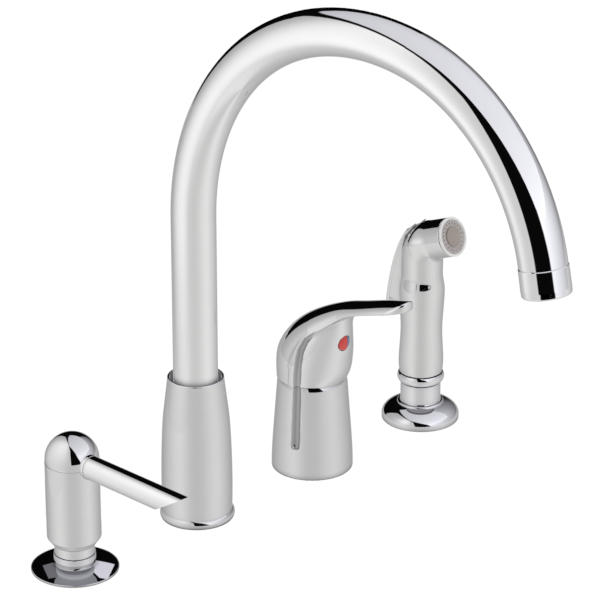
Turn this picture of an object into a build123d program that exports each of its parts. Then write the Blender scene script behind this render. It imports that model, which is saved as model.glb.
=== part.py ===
from build123d import *
import math
import os

os.makedirs("parts", exist_ok=True)

# ---------------------------------------------------------------- driving dimensions (mm)
# Z = 0 is the top of the sink deck, the origin is the centre of the spout's hole, -Y is over the bowl.
HOLE_PITCH = 101.6          # four holes in a row, 4 in apart
SX = -HOLE_PITCH            # soap dispenser
PX = 0.0                    # spout
VX = HOLE_PITCH             # mixing valve
RX = 2 * HOLE_PITCH         # side sprayer
DECK_T = 20.0               # deck thickness the nuts are run up to
RUN = 0.05                  # radial clearance of running fits
THREAD_GAP = 0.08           # radial gap between the threads of a nut and its shank

# spout
TUBE_R = 13.85
TUBE_BORE = 12.55
TUBE_FOOT_Z = 58.0
TUBE_RISE_Z = 200.2         # top of the straight riser
ARC_1 = (148.32, 70.07)     # radius, sweep
ARC_2 = (157.57, 30.93)
ARC_3 = (122.36, 67.34)
OUTLET_LEN = 16.5

# valve
BALL_Z = 46.0               # centre the handle tilts about
DOME_R = 27.8
GROOVE_ANGLE = 73.5         # from the front, both sides
STEM_LEAN = 10.0            # forward lean of the stem with the water off

# side sprayer, turned slightly towards +X in its holder
SPRAY_YAW = 5.5

# soap dispenser
PUMP_STROKE = 12.0


def half_plane(x):
    """Drawing plane through a station's axis: local x is the radius, local y is the height."""
    return Plane(origin=(x, 0, 0), x_dir=(1, 0, 0), z_dir=(0, -1, 0))


def upright(x):
    return Axis((x, 0, 0), (0, 0, 1))


def thread(r, depth, pitch, low, high):
    """Outline of ring-shaped threads from the low end to the high end."""
    points = [(r - depth, low)]
    for i in range(int(round((high - low) / pitch))):
        z = low + i * pitch
        points += [
            (r - depth, z + 0.15 * pitch),
            (r, z + 0.40 * pitch),
            (r, z + 0.60 * pitch),
            (r - depth, z + 0.85 * pitch),
        ]
    return points + [(r - depth, high)]


def path(*points):
    """Corner points without repeats."""
    kept = [points[0]]
    for p in points[1:]:
        if math.dist(p, kept[-1]) > 1e-6:
            kept.append(p)
    return kept


# ================================================================ SPOUT
with BuildPart() as spout_base_ring:
    with BuildSketch(half_plane(PX)):
        with BuildLine():
            Polyline((22.9, 0), (22.3, 0), (22.3, 1.2), (15.7, 1.2), (15.7, 5.3), (21.8, 5.3))
            ThreePointArc((21.8, 5.3), (23.4, 2.6), (22.9, 0))
        make_face()
    revolve(axis=upright(PX))

with BuildPart() as spout_gasket:
    with BuildSketch(Plane.XY.offset(0)):
        Circle(22.2)
        Circle(15.9, mode=Mode.SUBTRACT)
    extrude(amount=1.15)

with BuildPart() as spout_body:
    with BuildSketch(half_plane(PX)):
        with BuildLine():
            Line((19.5, 5.35), (21.9, 5.35))
            Spline(
                (21.9, 5.35), (22.2, 19.2), (22.16, 31.7), (21.88, 44.2), (21.4, 56.5),
                (20.55, 68.9), (19.5, 77.9), (18.35, 87.5), (17.55, 94.2),
            )
            ThreePointArc((17.55, 94.2), (16.95, 95.0), (16.2, 94.4))
            Polyline(
                (16.2, 94.4), (16.2, 84.0), (15.2, 84.0), (15.2, 80.0), (17.2, 72.0),
                (19.0, 60.0), (19.5, 50.0), (19.5, 5.35),
            )
        make_face()
    revolve(axis=upright(PX))

# fixed brass post with its threaded shank, the water way, and the side outlet for the spray hose
with BuildPart() as spout_post:
    with BuildSketch(half_plane(PX)):
        with BuildLine():
            Polyline(*path(
                (5.0, -98), (7.2, -98), (7.2, -84), (12.0, -82), (12.0, -66), (14.5, -64),
                *thread(15.5, 1.0, 2.0, -64, -4), (15.5, -4), (15.5, 5.3), (19.0, 5.3), (19.0, 9.3),
                (13.4, 9.3), (13.4, 52), (9.0, 52),
                (9.0, 63), (7.45, 63), (7.45, 65), (9.0, 65), (9.0, 75), (7.45, 75), (7.45, 77), (9.0, 77),
                (9.0, 87.2), (7.9, 87.2), (7.9, 88.4), (9.0, 88.4), (9.0, 90), (6.0, 90),
                (6.0, 46), (7.6, 46), (7.6, 10), (5.0, 8), (5.0, -98),
            ))
        make_face()
    revolve(axis=upright(PX))
    with BuildSketch(Plane(origin=(0, 0, -74), x_dir=(1, 0, 0), z_dir=(0, -1, 0)).offset(9.0)):
        Circle(7.6)
    extrude(amount=5.0)
    with BuildSketch(Plane(origin=(0, 0, -74), x_dir=(1, 0, 0), z_dir=(0, -1, 0)).offset(14.0)):
        Circle(6.5)
    extrude(amount=14.0)
    with BuildSketch(Plane(origin=(0, 0, -74), x_dir=(1, 0, 0), z_dir=(0, -1, 0)).offset(8.2)):
        Circle(4.0)
    extrude(amount=22, mode=Mode.SUBTRACT)
    with BuildSketch(Plane.XY.offset(-74)):
        with Locations((0, -10.4)):
            Circle(2.0)
    extrude(amount=90, mode=Mode.SUBTRACT)
    with BuildSketch(Plane(origin=(0, 0, 14), x_dir=(1, 0, 0), z_dir=(0, -1, 0)).offset(5)):
        Circle(1.6)
    extrude(amount=5.4, mode=Mode.SUBTRACT)

with BuildPart() as diverter_body:
    with BuildSketch(half_plane(PX)):
        with BuildLine():
            Polyline(
                (4.2, 18), (6.4, 18), (6.4, 24), (7.5, 24), (7.5, 26), (6.4, 26), (6.4, 38),
                (7.5, 38), (7.5, 45), (3.0, 45), (3.0, 43), (4.2, 43), (4.2, 18),
            )
        make_face()
    revolve(axis=upright(PX))
    with BuildSketch(Plane.XY.offset(28)):
        with PolarLocations(6.0, 4):
            Rectangle(6, 2.4)
    extrude(amount=7, mode=Mode.SUBTRACT)

with BuildPart() as diverter_piston:
    with BuildSketch(half_plane(PX)):
        with BuildLine():
            Polyline((0, 20), (3.0, 20), (4.12, 21), (4.12, 24), (2.0, 25), (2.0, 34), (4.12, 35), (4.12, 38), (0, 38), (0, 20))
        make_face()
    revolve(axis=upright(PX))

with BuildPart() as spout_o_rings:
    with BuildSketch(half_plane(PX)):
        with Locations((8.25, 64), (8.25, 76)):
            Circle(0.75)
    revolve(axis=upright(PX))

with BuildPart() as spout_glide_ring:
    with BuildSketch(Plane.XY.offset(52)):
        Circle(13.4)
        Circle(9.1, mode=Mode.SUBTRACT)
    extrude(amount=2.45)

with BuildPart() as spout_hub:
    with BuildSketch(half_plane(PX)):
        with BuildLine():
            Polyline(
                (9.05, 54.5), (13.5, 54.5), (13.85, 54.85), (13.85, TUBE_FOOT_Z), (12.5, TUBE_FOOT_Z),
                (12.5, 79), (11.4, 80), (11.4, 86.9), (9.05, 86.9), (9.05, 54.5),
            )
        make_face()
    revolve(axis=upright(PX))

with BuildPart() as spout_clip:
    with BuildSketch(Plane.XY.offset(87.3)):
        Circle(10.8)
        Circle(7.95, mode=Mode.SUBTRACT)
        with Locations((0, 10)):
            Rectangle(5, 6, mode=Mode.SUBTRACT)
    extrude(amount=1.0)

with BuildPart() as recess_ring:
    with BuildSketch(half_plane(PX)):
        with BuildLine():
            Polyline((13.93, 84.05), (16.15, 84.05), (16.15, 88.5), (15.4, 89.2), (13.93, 88.2), (13.93, 84.05))
        make_face()
    revolve(axis=upright(PX))

spout_plane = Plane(origin=(0, 0, 0), x_dir=(0, -1, 0), z_dir=(-1, 0, 0))
with BuildPart() as spout_tube:
    with BuildLine(spout_plane) as spout_path:
        riser = Line((0, TUBE_FOOT_Z), (0, TUBE_RISE_Z))
        arc_1 = JernArc(start=riser @ 1, tangent=riser % 1, radius=ARC_1[0], arc_size=-ARC_1[1])
        arc_2 = JernArc(start=arc_1 @ 1, tangent=arc_1 % 1, radius=ARC_2[0], arc_size=-ARC_2[1])
        arc_3 = JernArc(start=arc_2 @ 1, tangent=arc_2 % 1, radius=ARC_3[0], arc_size=-ARC_3[1])
    with BuildSketch(Plane.XY.offset(TUBE_FOOT_Z)):
        Circle(TUBE_R)
        Circle(TUBE_BORE, mode=Mode.SUBTRACT)
    sweep(path=spout_path.wires()[0])

outlet_end = arc_3 @ 1
outlet_dir = arc_3 % 1
outlet_plane = Plane(origin=outlet_end, x_dir=(1, 0, 0), z_dir=outlet_dir)
outlet_axis = Axis(outlet_end, outlet_dir)
# local x is the radius, local y runs along the flow
outlet_half = Plane(origin=outlet_end, x_dir=(1, 0, 0), z_dir=Vector(1, 0, 0).cross(outlet_dir))

with BuildPart() as outlet_adapter:
    with BuildSketch(outlet_half):
        with BuildLine():
            Polyline(*path((10.0, -12), (11.8, -12), (12.42, -2.5), (12.42, -0.05), *thread(12.3, 0.7, 1.4, 0.0, 7.0), (11.6, 7.2), (10.0, 7.2), (10.0, -12)))
        make_face()
    revolve(axis=outlet_axis)

with BuildPart() as aerator_housing:
    with BuildSketch(outlet_half):
        with BuildLine():
            Polyline((13.7, 0.1), (14.1, 0.55), (14.25, 12.5), (14.1, 15.6))
            ThreePointArc((14.1, 15.6), (13.7, 16.3), (13.0, OUTLET_LEN))
            Polyline(*path(
                (13.0, OUTLET_LEN), (10.9, OUTLET_LEN), (10.9, 15.2), (11.9, 15.2),
                *reversed(thread(12.3 + THREAD_GAP, 0.7, 1.4, 0.0, 8.4)),
                (13.7, 0.1),
            ))
        make_face()
    revolve(axis=outlet_axis)

with BuildPart() as aerator_insert:
    with BuildSketch(outlet_plane.offset(7.3)):
        Circle(11.4)
    extrude(amount=7.8)
    with BuildSketch(outlet_plane.offset(7.3)):
        Circle(9.6)
    extrude(amount=5.0, mode=Mode.SUBTRACT)
    with BuildSketch(outlet_plane.offset(13.6)):
        Circle(9.9)
    extrude(amount=2.0, mode=Mode.SUBTRACT)
    with BuildSketch(outlet_plane.offset(12)):
        with HexLocations(1.25, 7, 7):
            RegularPolygon(0.95, 6)
    extrude(amount=2.5, mode=Mode.SUBTRACT)

with BuildPart() as deck_rubber_washers:
    with BuildSketch(Plane.XY.offset(-DECK_T - 2.5)):
        with Locations((PX, 0), (VX, 0)):
            Circle(22.0)
            Circle(15.7, mode=Mode.SUBTRACT)
    extrude(amount=2.5)

with BuildPart() as deck_steel_washers:
    with BuildSketch(Plane.XY.offset(-DECK_T - 4.0)):
        with Locations((PX, 0), (VX, 0)):
            Circle(21.0)
            Circle(15.7, mode=Mode.SUBTRACT)
    extrude(amount=1.5)

with BuildPart() as shank_nuts:
    with BuildSketch(Plane.XY.offset(-DECK_T - 16.0)):
        with Locations((PX, 0), (VX, 0)):
            RegularPolygon(20.5, 6, major_radius=False)
    extrude(amount=12)
    chamfer(shank_nuts.faces().filter_by(Axis.Z).sort_by(Axis.Z)[0:2].edges(), length=1.0)
    for station in (PX, VX):
        with BuildSketch(half_plane(station)):
            with BuildLine():
                Polyline(*path((0, -36.1), (14.58, -36.1), *thread(15.5 + THREAD_GAP, 1.0, 2.0, -36, -24), (14.58, -23.9), (0, -23.9), (0, -36.1)))
            make_face()
        revolve(axis=upright(station), mode=Mode.SUBTRACT)

# ================================================================ MIXING VALVE
with BuildPart() as valve_skirt:
    with BuildSketch(half_plane(VX)):
        with BuildLine():
            Polyline((25.6, 0), (24.6, 0), (24.6, 1.2), (18.0, 1.2), (18.0, 67.1))
            ThreePointArc((18.0, 67.1), (20.3, 64.93), (22.35, 62.4))
            ThreePointArc((22.35, 62.4), (24.78, 30), (26.25, 2.0))
            ThreePointArc((26.25, 2.0), (26.2, 0.6), (25.6, 0))
        make_face()
    revolve(axis=upright(VX))
    # a shallow groove with a round foot runs down each side
    for side in (-1, 1):
        a = math.radians(GROOVE_ANGLE)
        foot = Vector(VX + side * 25.75 * math.sin(a), -25.75 * math.cos(a), 23.3)
        head = Vector(VX + side * 22.75 * math.sin(a), -22.75 * math.cos(a), 68.0)
        with Locations(foot):
            Sphere(2.6, mode=Mode.SUBTRACT)
        with BuildSketch(Plane(origin=foot, x_dir=(0, 1, 0), z_dir=head - foot)):
            Circle(2.6)
        extrude(amount=(head - foot).length, mode=Mode.SUBTRACT)

with BuildPart() as valve_gasket:
    with BuildSketch(Plane.XY.offset(0)):
        with Locations((VX, 0)):
            Circle(24.5)
            Circle(15.9, mode=Mode.SUBTRACT)
    extrude(amount=1.15)

tube_spots = [(VX - 6.3 * math.cos(math.radians(30)), -6.3 * 0.5), (VX + 6.3 * math.cos(math.radians(30)), -6.3 * 0.5), (VX, 6.3)]
with BuildPart() as valve_body:
    with BuildSketch(half_plane(VX)):
        with BuildLine():
            Polyline(*path(
                (11.5, -60), *thread(15.5, 1.0, 2.0, -60, -4), (15.5, -4), (15.5, 1.2), (17.9, 1.2), (17.9, 9),
                (17.0, 10), (17.0, 46.5), *thread(15.8, 0.7, 1.5, 46.5, 55.5), (14.9, 55.6), (13.1, 55.6), (13.1, 28), (0, 28), (0, 14), (11.5, 14), (11.5, -60),
            ))
        make_face()
    revolve(axis=upright(VX))
    with BuildSketch(Plane.XY.offset(14)):
        with Locations(*tube_spots):
            Circle(4.62)
    extrude(amount=8, mode=Mode.SUBTRACT)
    with BuildSketch(Plane.XY.offset(20)):
        with Locations(*tube_spots):
            Circle(3.6)
    extrude(amount=9, mode=Mode.SUBTRACT)

# three copper tails, 3/8 in outside diameter at their plain ends, spread apart below the shank
TAIL_R = 4.76
TAIL_BEND = (30.0, 40.0)
with BuildPart() as inlet_tubes:
    for (x, y), end_z in zip(tube_spots[:2], (-190.0, -190.0)):
        out = Vector(x - VX, y, 0).normalized()
        with BuildLine(Plane(origin=(x, y, 0), x_dir=out, z_dir=out.cross(Vector(0, 0, 1)))) as tail:
            drop = Line((0, 22), (0, -66))
            bend_1 = JernArc(start=drop @ 1, tangent=drop % 1, radius=TAIL_BEND[0], arc_size=TAIL_BEND[1])
            bend_2 = JernArc(start=bend_1 @ 1, tangent=bend_1 % 1, radius=TAIL_BEND[0], arc_size=-TAIL_BEND[1])
            Line(bend_2 @ 1, (14.036, -160.0))
        with BuildSketch(Plane(origin=(x, y, 22), z_dir=(0, 0, -1))):
            Circle(4.6)
            Circle(3.75, mode=Mode.SUBTRACT)
        sweep(path=tail.wires()[0])
        with BuildSketch(Plane.XY.offset(end_z)):
            with Locations((x + out.X * 14.036, y + out.Y * 14.036)):
                Circle(TAIL_R)
                Circle(3.75, mode=Mode.SUBTRACT)
        extrude(amount=-160.0 - end_z)

with BuildPart() as mixed_outlet_tube:
    with BuildLine(Plane(origin=(VX, 6.3, 0), x_dir=(0, 1, 0), z_dir=(1, 0, 0))) as tail:
        drop = Line((0, 22), (0, -66))
        bend_1 = JernArc(start=drop @ 1, tangent=drop % 1, radius=TAIL_BEND[0], arc_size=TAIL_BEND[1])
        bend_2 = JernArc(start=bend_1 @ 1, tangent=bend_1 % 1, radius=TAIL_BEND[0], arc_size=-TAIL_BEND[1])
        Line(bend_2 @ 1, (14.036, -125.0))
    with BuildSketch(Plane(origin=(VX, 6.3, 22), z_dir=(0, 0, -1))):
        Circle(4.6)
        Circle(3.75, mode=Mode.SUBTRACT)
    sweep(path=tail.wires()[0])
    with BuildSketch(Plane.XY.offset(-155)):
        with Locations((VX, 6.3 + 14.036)):
            Circle(TAIL_R)
            Circle(3.75, mode=Mode.SUBTRACT)
    extrude(amount=30)

with BuildPart() as cartridge_body:
    with BuildSketch(half_plane(VX)):
        with BuildLine():
            Polyline((0, 28.05), (12.9, 28.05), (12.9, 54), (12.3, 54), (12.3, 57.5), (10.6, 57.5), (10.6, 36), (0, 36), (0, 28.05))
        make_face()
    revolve(axis=upright(VX))
    with BuildSketch(Plane.XY.offset(27)):
        with Locations(*tube_spots):
            Circle(3.4)
    extrude(amount=9.5, mode=Mode.SUBTRACT)

# turning carrier that holds the stem's cross pin
with BuildPart() as cartridge_rotor:
    with BuildSketch(half_plane(VX)):
        with BuildLine():
            Polyline((0, 36.3), (10.5, 36.3), (10.5, 56), (0, 56), (0, 36.3))
        make_face()
    revolve(axis=upright(VX))
    with BuildSketch(Plane.XY.offset(38.6)):
        with Locations((VX, 0)):
            Rectangle(8.8, 22)
    extrude(amount=20, mode=Mode.SUBTRACT)
    with BuildSketch(Plane(origin=(VX - 9.2, 0, BALL_Z), x_dir=(0, 1, 0), z_dir=(1, 0, 0))):
        Circle(2.05)
    extrude(amount=18.4, mode=Mode.SUBTRACT)

lean = math.radians(STEM_LEAN)
stem_dir = Vector(0, -math.sin(lean), math.cos(lean))
stem_plane = Plane(origin=(VX, 0, BALL_Z), x_dir=(1, 0, 0), z_dir=stem_dir)
with BuildPart() as handle_stem:
    with BuildSketch(stem_plane.offset(-5.5)):
        Rectangle(8.0, 8.0)
    extrude(amount=24)
    with BuildSketch(stem_plane.offset(18)):
        Circle(4.0)
    extrude(amount=36)
    with BuildSketch(Plane(origin=(VX - 8.8, 0, BALL_Z), x_dir=(0, 1, 0), z_dir=(1, 0, 0))):
        Circle(2.0)
    extrude(amount=17.6)

with BuildPart() as bonnet_dome:
    with BuildSketch(half_plane(VX)):
        with BuildLine():
            Line((17.7, 48.0), (17.7, 67.4))
            ThreePointArc((17.7, 67.4), (14.3, 69.84), (10.8, 71.6))
            Line((10.8, 71.6), (10.8, 69.8))
            ThreePointArc((10.8, 69.8), (13.5, 68.36), (16.2, 66.35))
            Polyline(*path((16.2, 66.35), (16.2, 57.9), *reversed(thread(15.8 + THREAD_GAP, 0.7, 1.5, 48.0, 57.0)), (15.18, 48.0), (17.7, 48.0)))
        make_face()
    revolve(axis=upright(VX))

# handle: the crown line of the arched lever band, with the half width and drop of its side edges
BAND = [
    # y, z, half width, drop
    (22.40, 63.20, 21.50, 28.80),
    (23.30, 73.00, 21.60, 29.30),
    (22.00, 83.20, 21.00, 28.90),
    (16.80, 92.30, 19.60, 26.30),
    (7.69, 102.21, 18.00, 20.35),
    (-6.08, 111.66, 15.59, 14.27),
    (-22.79, 119.95, 12.99, 8.86),
    (-41.38, 126.51, 11.60, 6.79),
    (-60.95, 132.80, 10.69, 6.60),
    (-81.42, 138.38, 9.30, 6.40),
    (-86.00, 139.50, 8.90, 6.20),
]
HUB = [
    # z, half width in x, half width in y, forward shift of the centre
    (60.0, 21.6, 21.6, 0.0),
    (63.2, 22.4, 22.4, 0.0),
    (66.0, 23.1, 23.1, 0.9),
    (70.0, 23.3, 23.4, 2.2),
    (78.0, 22.5, 23.3, 3.9),
    (86.0, 21.0, 22.8, 5.6),
    (93.0, 19.2, 21.9, 7.0),
    (100.0, 16.8, 20.3, 9.6),
    (107.0, 14.4, 18.0, 13.2),
    (113.0, 12.2, 15.6, 18.5),
]
BUTTON_Z = 94.0
BUTTON_Y = -29.0
with BuildPart() as lever_band:
    for i, (y, z, w, d) in enumerate(BAND):
        y0, z0 = BAND[max(i - 1, 0)][:2]
        y1, z1 = BAND[min(i + 1, len(BAND) - 1)][:2]
        if i == 0:
            y0, z0, y1, z1 = 22.4, 60.0, 22.4, 66.0
        t = Vector(0, y1 - y0, z1 - z0).normalized()
        with BuildSketch(Plane(origin=(VX, y, z), x_dir=(1, 0, 0), z_dir=-t)):
            with BuildLine():
                EllipticalCenterArc((0, d), w, d, start_angle=180, arc_size=180)
                Line((w, d), (-w, d))
            make_face()
    loft()
    # rounded free end
    with BuildSketch(Plane.XY.offset(50)):
        with BuildLine():
            Line((VX - 40, 40), (VX - 40, -60))
            Line((VX - 40, -60), (VX - 9.6, -76.5))
            ThreePointArc((VX - 9.6, -76.5), (VX - 7.6, -81.6), (VX - 3.5, -83.4))
            ThreePointArc((VX - 3.5, -83.4), (VX, -83.8), (VX + 3.5, -83.4))
            ThreePointArc((VX + 3.5, -83.4), (VX + 7.6, -81.6), (VX + 9.6, -76.5))
            Polyline((VX + 9.6, -76.5), (VX + 40, -60), (VX + 40, 40), (VX - 40, 40))
        make_face()
    extrude(amount=100, mode=Mode.INTERSECT)
with BuildPart() as hub_block:
    for z, a, b, c in HUB:
        with BuildSketch(Plane.XY.offset(z)):
            with Locations((VX, -c)):
                Ellipse(a, b)
    loft()
    # keep what lies in front of and below the band's side edges
    with BuildSketch(Plane(origin=(VX, 0, 0), x_dir=(0, 1, 0), z_dir=(1, 0, 0))):
        with BuildLine():
            Polyline((-60, 60), (24, 60), (24, 76), (0.0, 84.0), (-7.0, 94.0), (-15.0, 103.5), (-26.0, 111.5), (-40.0, 119.5), (-60, 124), (-60, 60))
        make_face()
    extrude(amount=40, both=True, mode=Mode.INTERSECT)
with BuildPart() as handle:
    add(lever_band.part)
    add(hub_block.part)
    with Locations((VX, 0, BALL_Z)):
        Sphere(DOME_R + 0.35, mode=Mode.SUBTRACT)
    with BuildSketch(stem_plane.offset(20)):
        Circle(4.0 + RUN)
    extrude(amount=34.5, mode=Mode.SUBTRACT)
    with BuildSketch(Plane(origin=(VX, -40, BUTTON_Z), x_dir=(1, 0, 0), z_dir=(0, 1, 0))):
        Circle(2.6)
    extrude(amount=30, mode=Mode.SUBTRACT)
    with BuildSketch(Plane(origin=(VX, -40, BUTTON_Z), x_dir=(1, 0, 0), z_dir=(0, 1, 0))):
        Circle(4.9)
    extrude(amount=14, mode=Mode.SUBTRACT)
    for side in (-1, 1):
        with BuildLine() as groove_path:
            Spline(
                (VX + side * 22.6, -6.4, 60), (VX + side * 23.1, -6.5, 66), (VX + side * 22.7, -6.4, 73), (VX + side * 21.7, -6.1, 80),
                (VX + side * 20.3, -6.7, 87), (VX + side * 19.4, -8.8, 92.5), (VX + side * 19.4, -12, 97),
            )
        with BuildSketch(Plane(origin=groove_path.line @ 0, z_dir=groove_path.line % 0)):
            Circle(2.2)
        sweep(path=groove_path.line, mode=Mode.SUBTRACT)

with BuildPart() as handle_set_screw:
    with BuildSketch(Plane(origin=(VX, -21.0, BUTTON_Z), x_dir=(1, 0, 0), z_dir=(0, 1, 0))):
        Circle(2.5)
    extrude(amount=7.8)
    with BuildSketch(Plane(origin=(VX, -21.0, BUTTON_Z), x_dir=(1, 0, 0), z_dir=(0, 1, 0))):
        RegularPolygon(1.45, 6)
    extrude(amount=2.6, mode=Mode.SUBTRACT)

button_half = Plane(origin=(VX, 0, BUTTON_Z), x_dir=(1, 0, 0), z_dir=(0, 0, 1))
with BuildPart() as index_button_red:
    with BuildSketch(button_half):
        with BuildLine():
            Polyline((0, -26.1), (-4.8, -26.1), (-4.8, BUTTON_Y + 0.35))
            ThreePointArc((-4.8, BUTTON_Y + 0.35), (-2.4, BUTTON_Y - 0.35), (0, BUTTON_Y - 0.6))
            Line((0, BUTTON_Y - 0.6), (0, -26.1))
        make_face()
    revolve(axis=Axis((VX, 0, BUTTON_Z), (0, 1, 0)))
    split(bisect_by=Plane(origin=(VX, 0, BUTTON_Z), z_dir=(1, 0, 0)), keep=Keep.BOTTOM)

with BuildPart() as index_button_blue:
    with BuildSketch(button_half):
        with BuildLine():
            Polyline((0, -26.1), (-4.8, -26.1), (-4.8, BUTTON_Y + 0.35))
            ThreePointArc((-4.8, BUTTON_Y + 0.35), (-2.4, BUTTON_Y - 0.35), (0, BUTTON_Y - 0.6))
            Line((0, BUTTON_Y - 0.6), (0, -26.1))
        make_face()
    revolve(axis=Axis((VX, 0, BUTTON_Z), (0, 1, 0)))
    split(bisect_by=Plane(origin=(VX, 0, BUTTON_Z), z_dir=(1, 0, 0)), keep=Keep.TOP)

# ================================================================ SIDE SPRAYER
yaw = math.radians(SPRAY_YAW)
FWD = Vector(math.sin(yaw), -math.cos(yaw), 0)
WID = Vector(math.cos(yaw), math.sin(yaw), 0)
spray_mid = Plane(origin=(RX, 0, 0), x_dir=FWD, z_dir=-WID)   # local x forward, local y up


def spray_point(f, z, w=0.0):
    return Vector(RX, 0, 0) + FWD * f + WID * w + Vector(0, 0, z)


def spray_section(f, z, lean_deg):
    """Plane across the sprayer's bent centre line."""
    a = math.radians(lean_deg)
    return Plane(origin=spray_point(f, z), x_dir=WID, z_dir=FWD * math.sin(a) + Vector(0, 0, math.cos(a)))


with BuildPart() as spray_holder:
    with BuildSketch(half_plane(RX)):
        with BuildLine():
            Polyline(*path(
                (11.2, -46), *thread(14.0, 0.9, 2.0, -46, -4), (14.0, -4), (14.0, 1.2), (24.4, 1.2), (24.4, 0), (25.1, 0),
            ))
            ThreePointArc((25.1, 0), (25.55, 0.25), (25.7, 0.8))
            Line((25.7, 0.8), (25.7, 3.4))
            Spline((25.7, 3.4), (25.1, 5.3), (22.6, 8.2), (19.0, 10.3), (15.4, 11.6))
            ThreePointArc((15.4, 11.6), (14.8, 12.9), (13.6, 13.2))
            Polyline((13.6, 13.2), (13.3, 13.9), (13.3, 26.3), (12.9, 26.8), (12.3, 26.8), (12.3, 25.4), (11.2, 25.4), (11.2, -46))
        make_face()
    revolve(axis=upright(RX))

with BuildPart() as holder_liner:
    with BuildSketch(half_plane(RX)):
        with BuildLine():
            Polyline((10.2, -45), (11.15, -45), (11.15, 25.45), (12.25, 25.45), (12.25, 26.85), (10.9, 26.85), (10.2, 26.0), (10.2, -45))
        make_face()
    revolve(axis=upright(RX))

with BuildPart() as holder_gasket:
    with BuildSketch(Plane.XY.offset(0)):
        with Locations((RX, 0)):
            Circle(24.3)
            Circle(14.3, mode=Mode.SUBTRACT)
    extrude(amount=1.15)

with BuildPart() as holder_nut:
    with BuildSketch(Plane.XY.offset(-DECK_T - 12.0)):
        with Locations((RX, 0)):
            RegularPolygon(18.5, 6, major_radius=False)
    extrude(amount=12)
    chamfer(holder_nut.faces().sort_by(Axis.Z)[0].edges(), length=1.0)
    with BuildSketch(Plane.XY.offset(-DECK_T - 2.0)):
        with Locations((RX, 0)):
            Circle(22.0)
    extrude(amount=2)
    with BuildSketch(half_plane(RX)):
        with BuildLine():
            Polyline(*path((0, -32.1), (13.18, -32.1), *thread(14.0 + THREAD_GAP, 0.9, 2.0, -32, -20), (13.18, -19.9), (0, -19.9), (0, -32.1)))
        make_face()
    revolve(axis=upright(RX), mode=Mode.SUBTRACT)

with BuildPart() as spray_tail:
    with BuildSketch(half_plane(RX)):
        with BuildLine():
            Polyline(
                (3.5, -62), (5.6, -62), (6.0, -61.5), (6.0, -46), (9.8, -40), (9.8, 26.9), (12.0, 26.9), (12.0, 33.5),
                (9.4, 33.5), (9.4, 50), (8.8, 51), (5.5, 51), (5.5, -40), (3.5, -46), (3.5, -62),
            )
        make_face()
    revolve(axis=upright(RX))

with BuildPart() as spray_collar:
    with BuildSketch(half_plane(RX)):
        with BuildLine():
            Line((12.05, 27.5), (14.3, 27.5))
            ThreePointArc((14.3, 27.5), (15.55, 30.5), (14.6, 33.45))
            Polyline((14.6, 33.45), (12.05, 33.45), (12.05, 27.5))
        make_face()
    revolve(axis=upright(RX))

HEAD = [
    # forward, up, radius, lean of the section
    (0.0, 107.0, 13.75, 0.0),
    (0.3, 113.0, 13.65, 8.0),
    (2.2, 120.0, 13.6, 22.0),
    (6.8, 127.2, 13.6, 42.0),
    (14.0, 132.6, 13.3, 58.0),
    (23.5, 134.8, 12.95, 69.0),
]
FACE_TILT = 69.0
face_plane = spray_section(25.0, 135.4, FACE_TILT)       # outer plane of the white rim
face_axis = Axis(face_plane.origin, face_plane.z_dir)
face_half = Plane(origin=face_plane.origin, x_dir=WID, z_dir=WID.cross(face_plane.z_dir))
PIVOT_F = -2.8
PIVOT_Z = 131.6
PLUNGER_Z = 100.0
with BuildPart() as spray_body:
    with BuildSketch(half_plane(RX)):
        with BuildLine():
            Line((0, 33.6), (14.1, 33.6))
            Spline(
                (14.1, 33.6), (14.55, 37), (14.6, 47), (14.0, 57), (13.75, 65.5), (14.25, 76),
                (14.8, 88), (14.4, 97), (13.75, 107),
            )
            Polyline((13.75, 107), (0, 107), (0, 33.6))
        make_face()
    revolve(axis=upright(RX))
    for f, z, r, lean_deg in HEAD:
        with BuildSketch(spray_section(f, z, lean_deg)):
            Circle(r)
    loft()
    # water way
    with BuildSketch(Plane.XY.offset(33.6)):
        with Locations((RX, 0)):
            Circle(9.5)
    extrude(amount=64.4, mode=Mode.SUBTRACT)
    for f, z, r, lean_deg in ((0.0, 98.0, 7.5, 0.0), (0.6, 112.0, 6.5, 8.0), (3.0, 119.5, 6.0, 22.0), (8.0, 126.0, 6.0, 42.0), (14.5, 131.0, 7.0, 58.0), (21.5, 134.05, 9.0, 69.0)):
        with BuildSketch(spray_section(f, z, lean_deg)):
            Circle(r)
    loft(mode=Mode.SUBTRACT)
    with BuildSketch(face_plane.offset(-6.2)):
        Circle(11.3)
    extrude(amount=6.5, mode=Mode.SUBTRACT)
    # slot for the trigger's rib, pin hole, plunger bore
    with BuildSketch(spray_mid):
        with BuildLine():
            Polyline((-20, 124.0), (-5.6, 126.6), (0.3, 129.0), (0.3, 134.6), (-2.0, 145), (-20, 145), (-20, 124.0))
        make_face()
    extrude(amount=3.45, both=True, mode=Mode.SUBTRACT)
    with BuildSketch(Plane(origin=spray_point(PIVOT_F, PIVOT_Z, -20), x_dir=FWD, z_dir=WID)):
        Circle(1.5)
    extrude(amount=40, mode=Mode.SUBTRACT)
    with BuildSketch(Plane(origin=spray_point(-20, PLUNGER_Z), x_dir=WID, z_dir=FWD)):
        Circle(2.5 + RUN)
    extrude(amount=14, mode=Mode.SUBTRACT)

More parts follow.
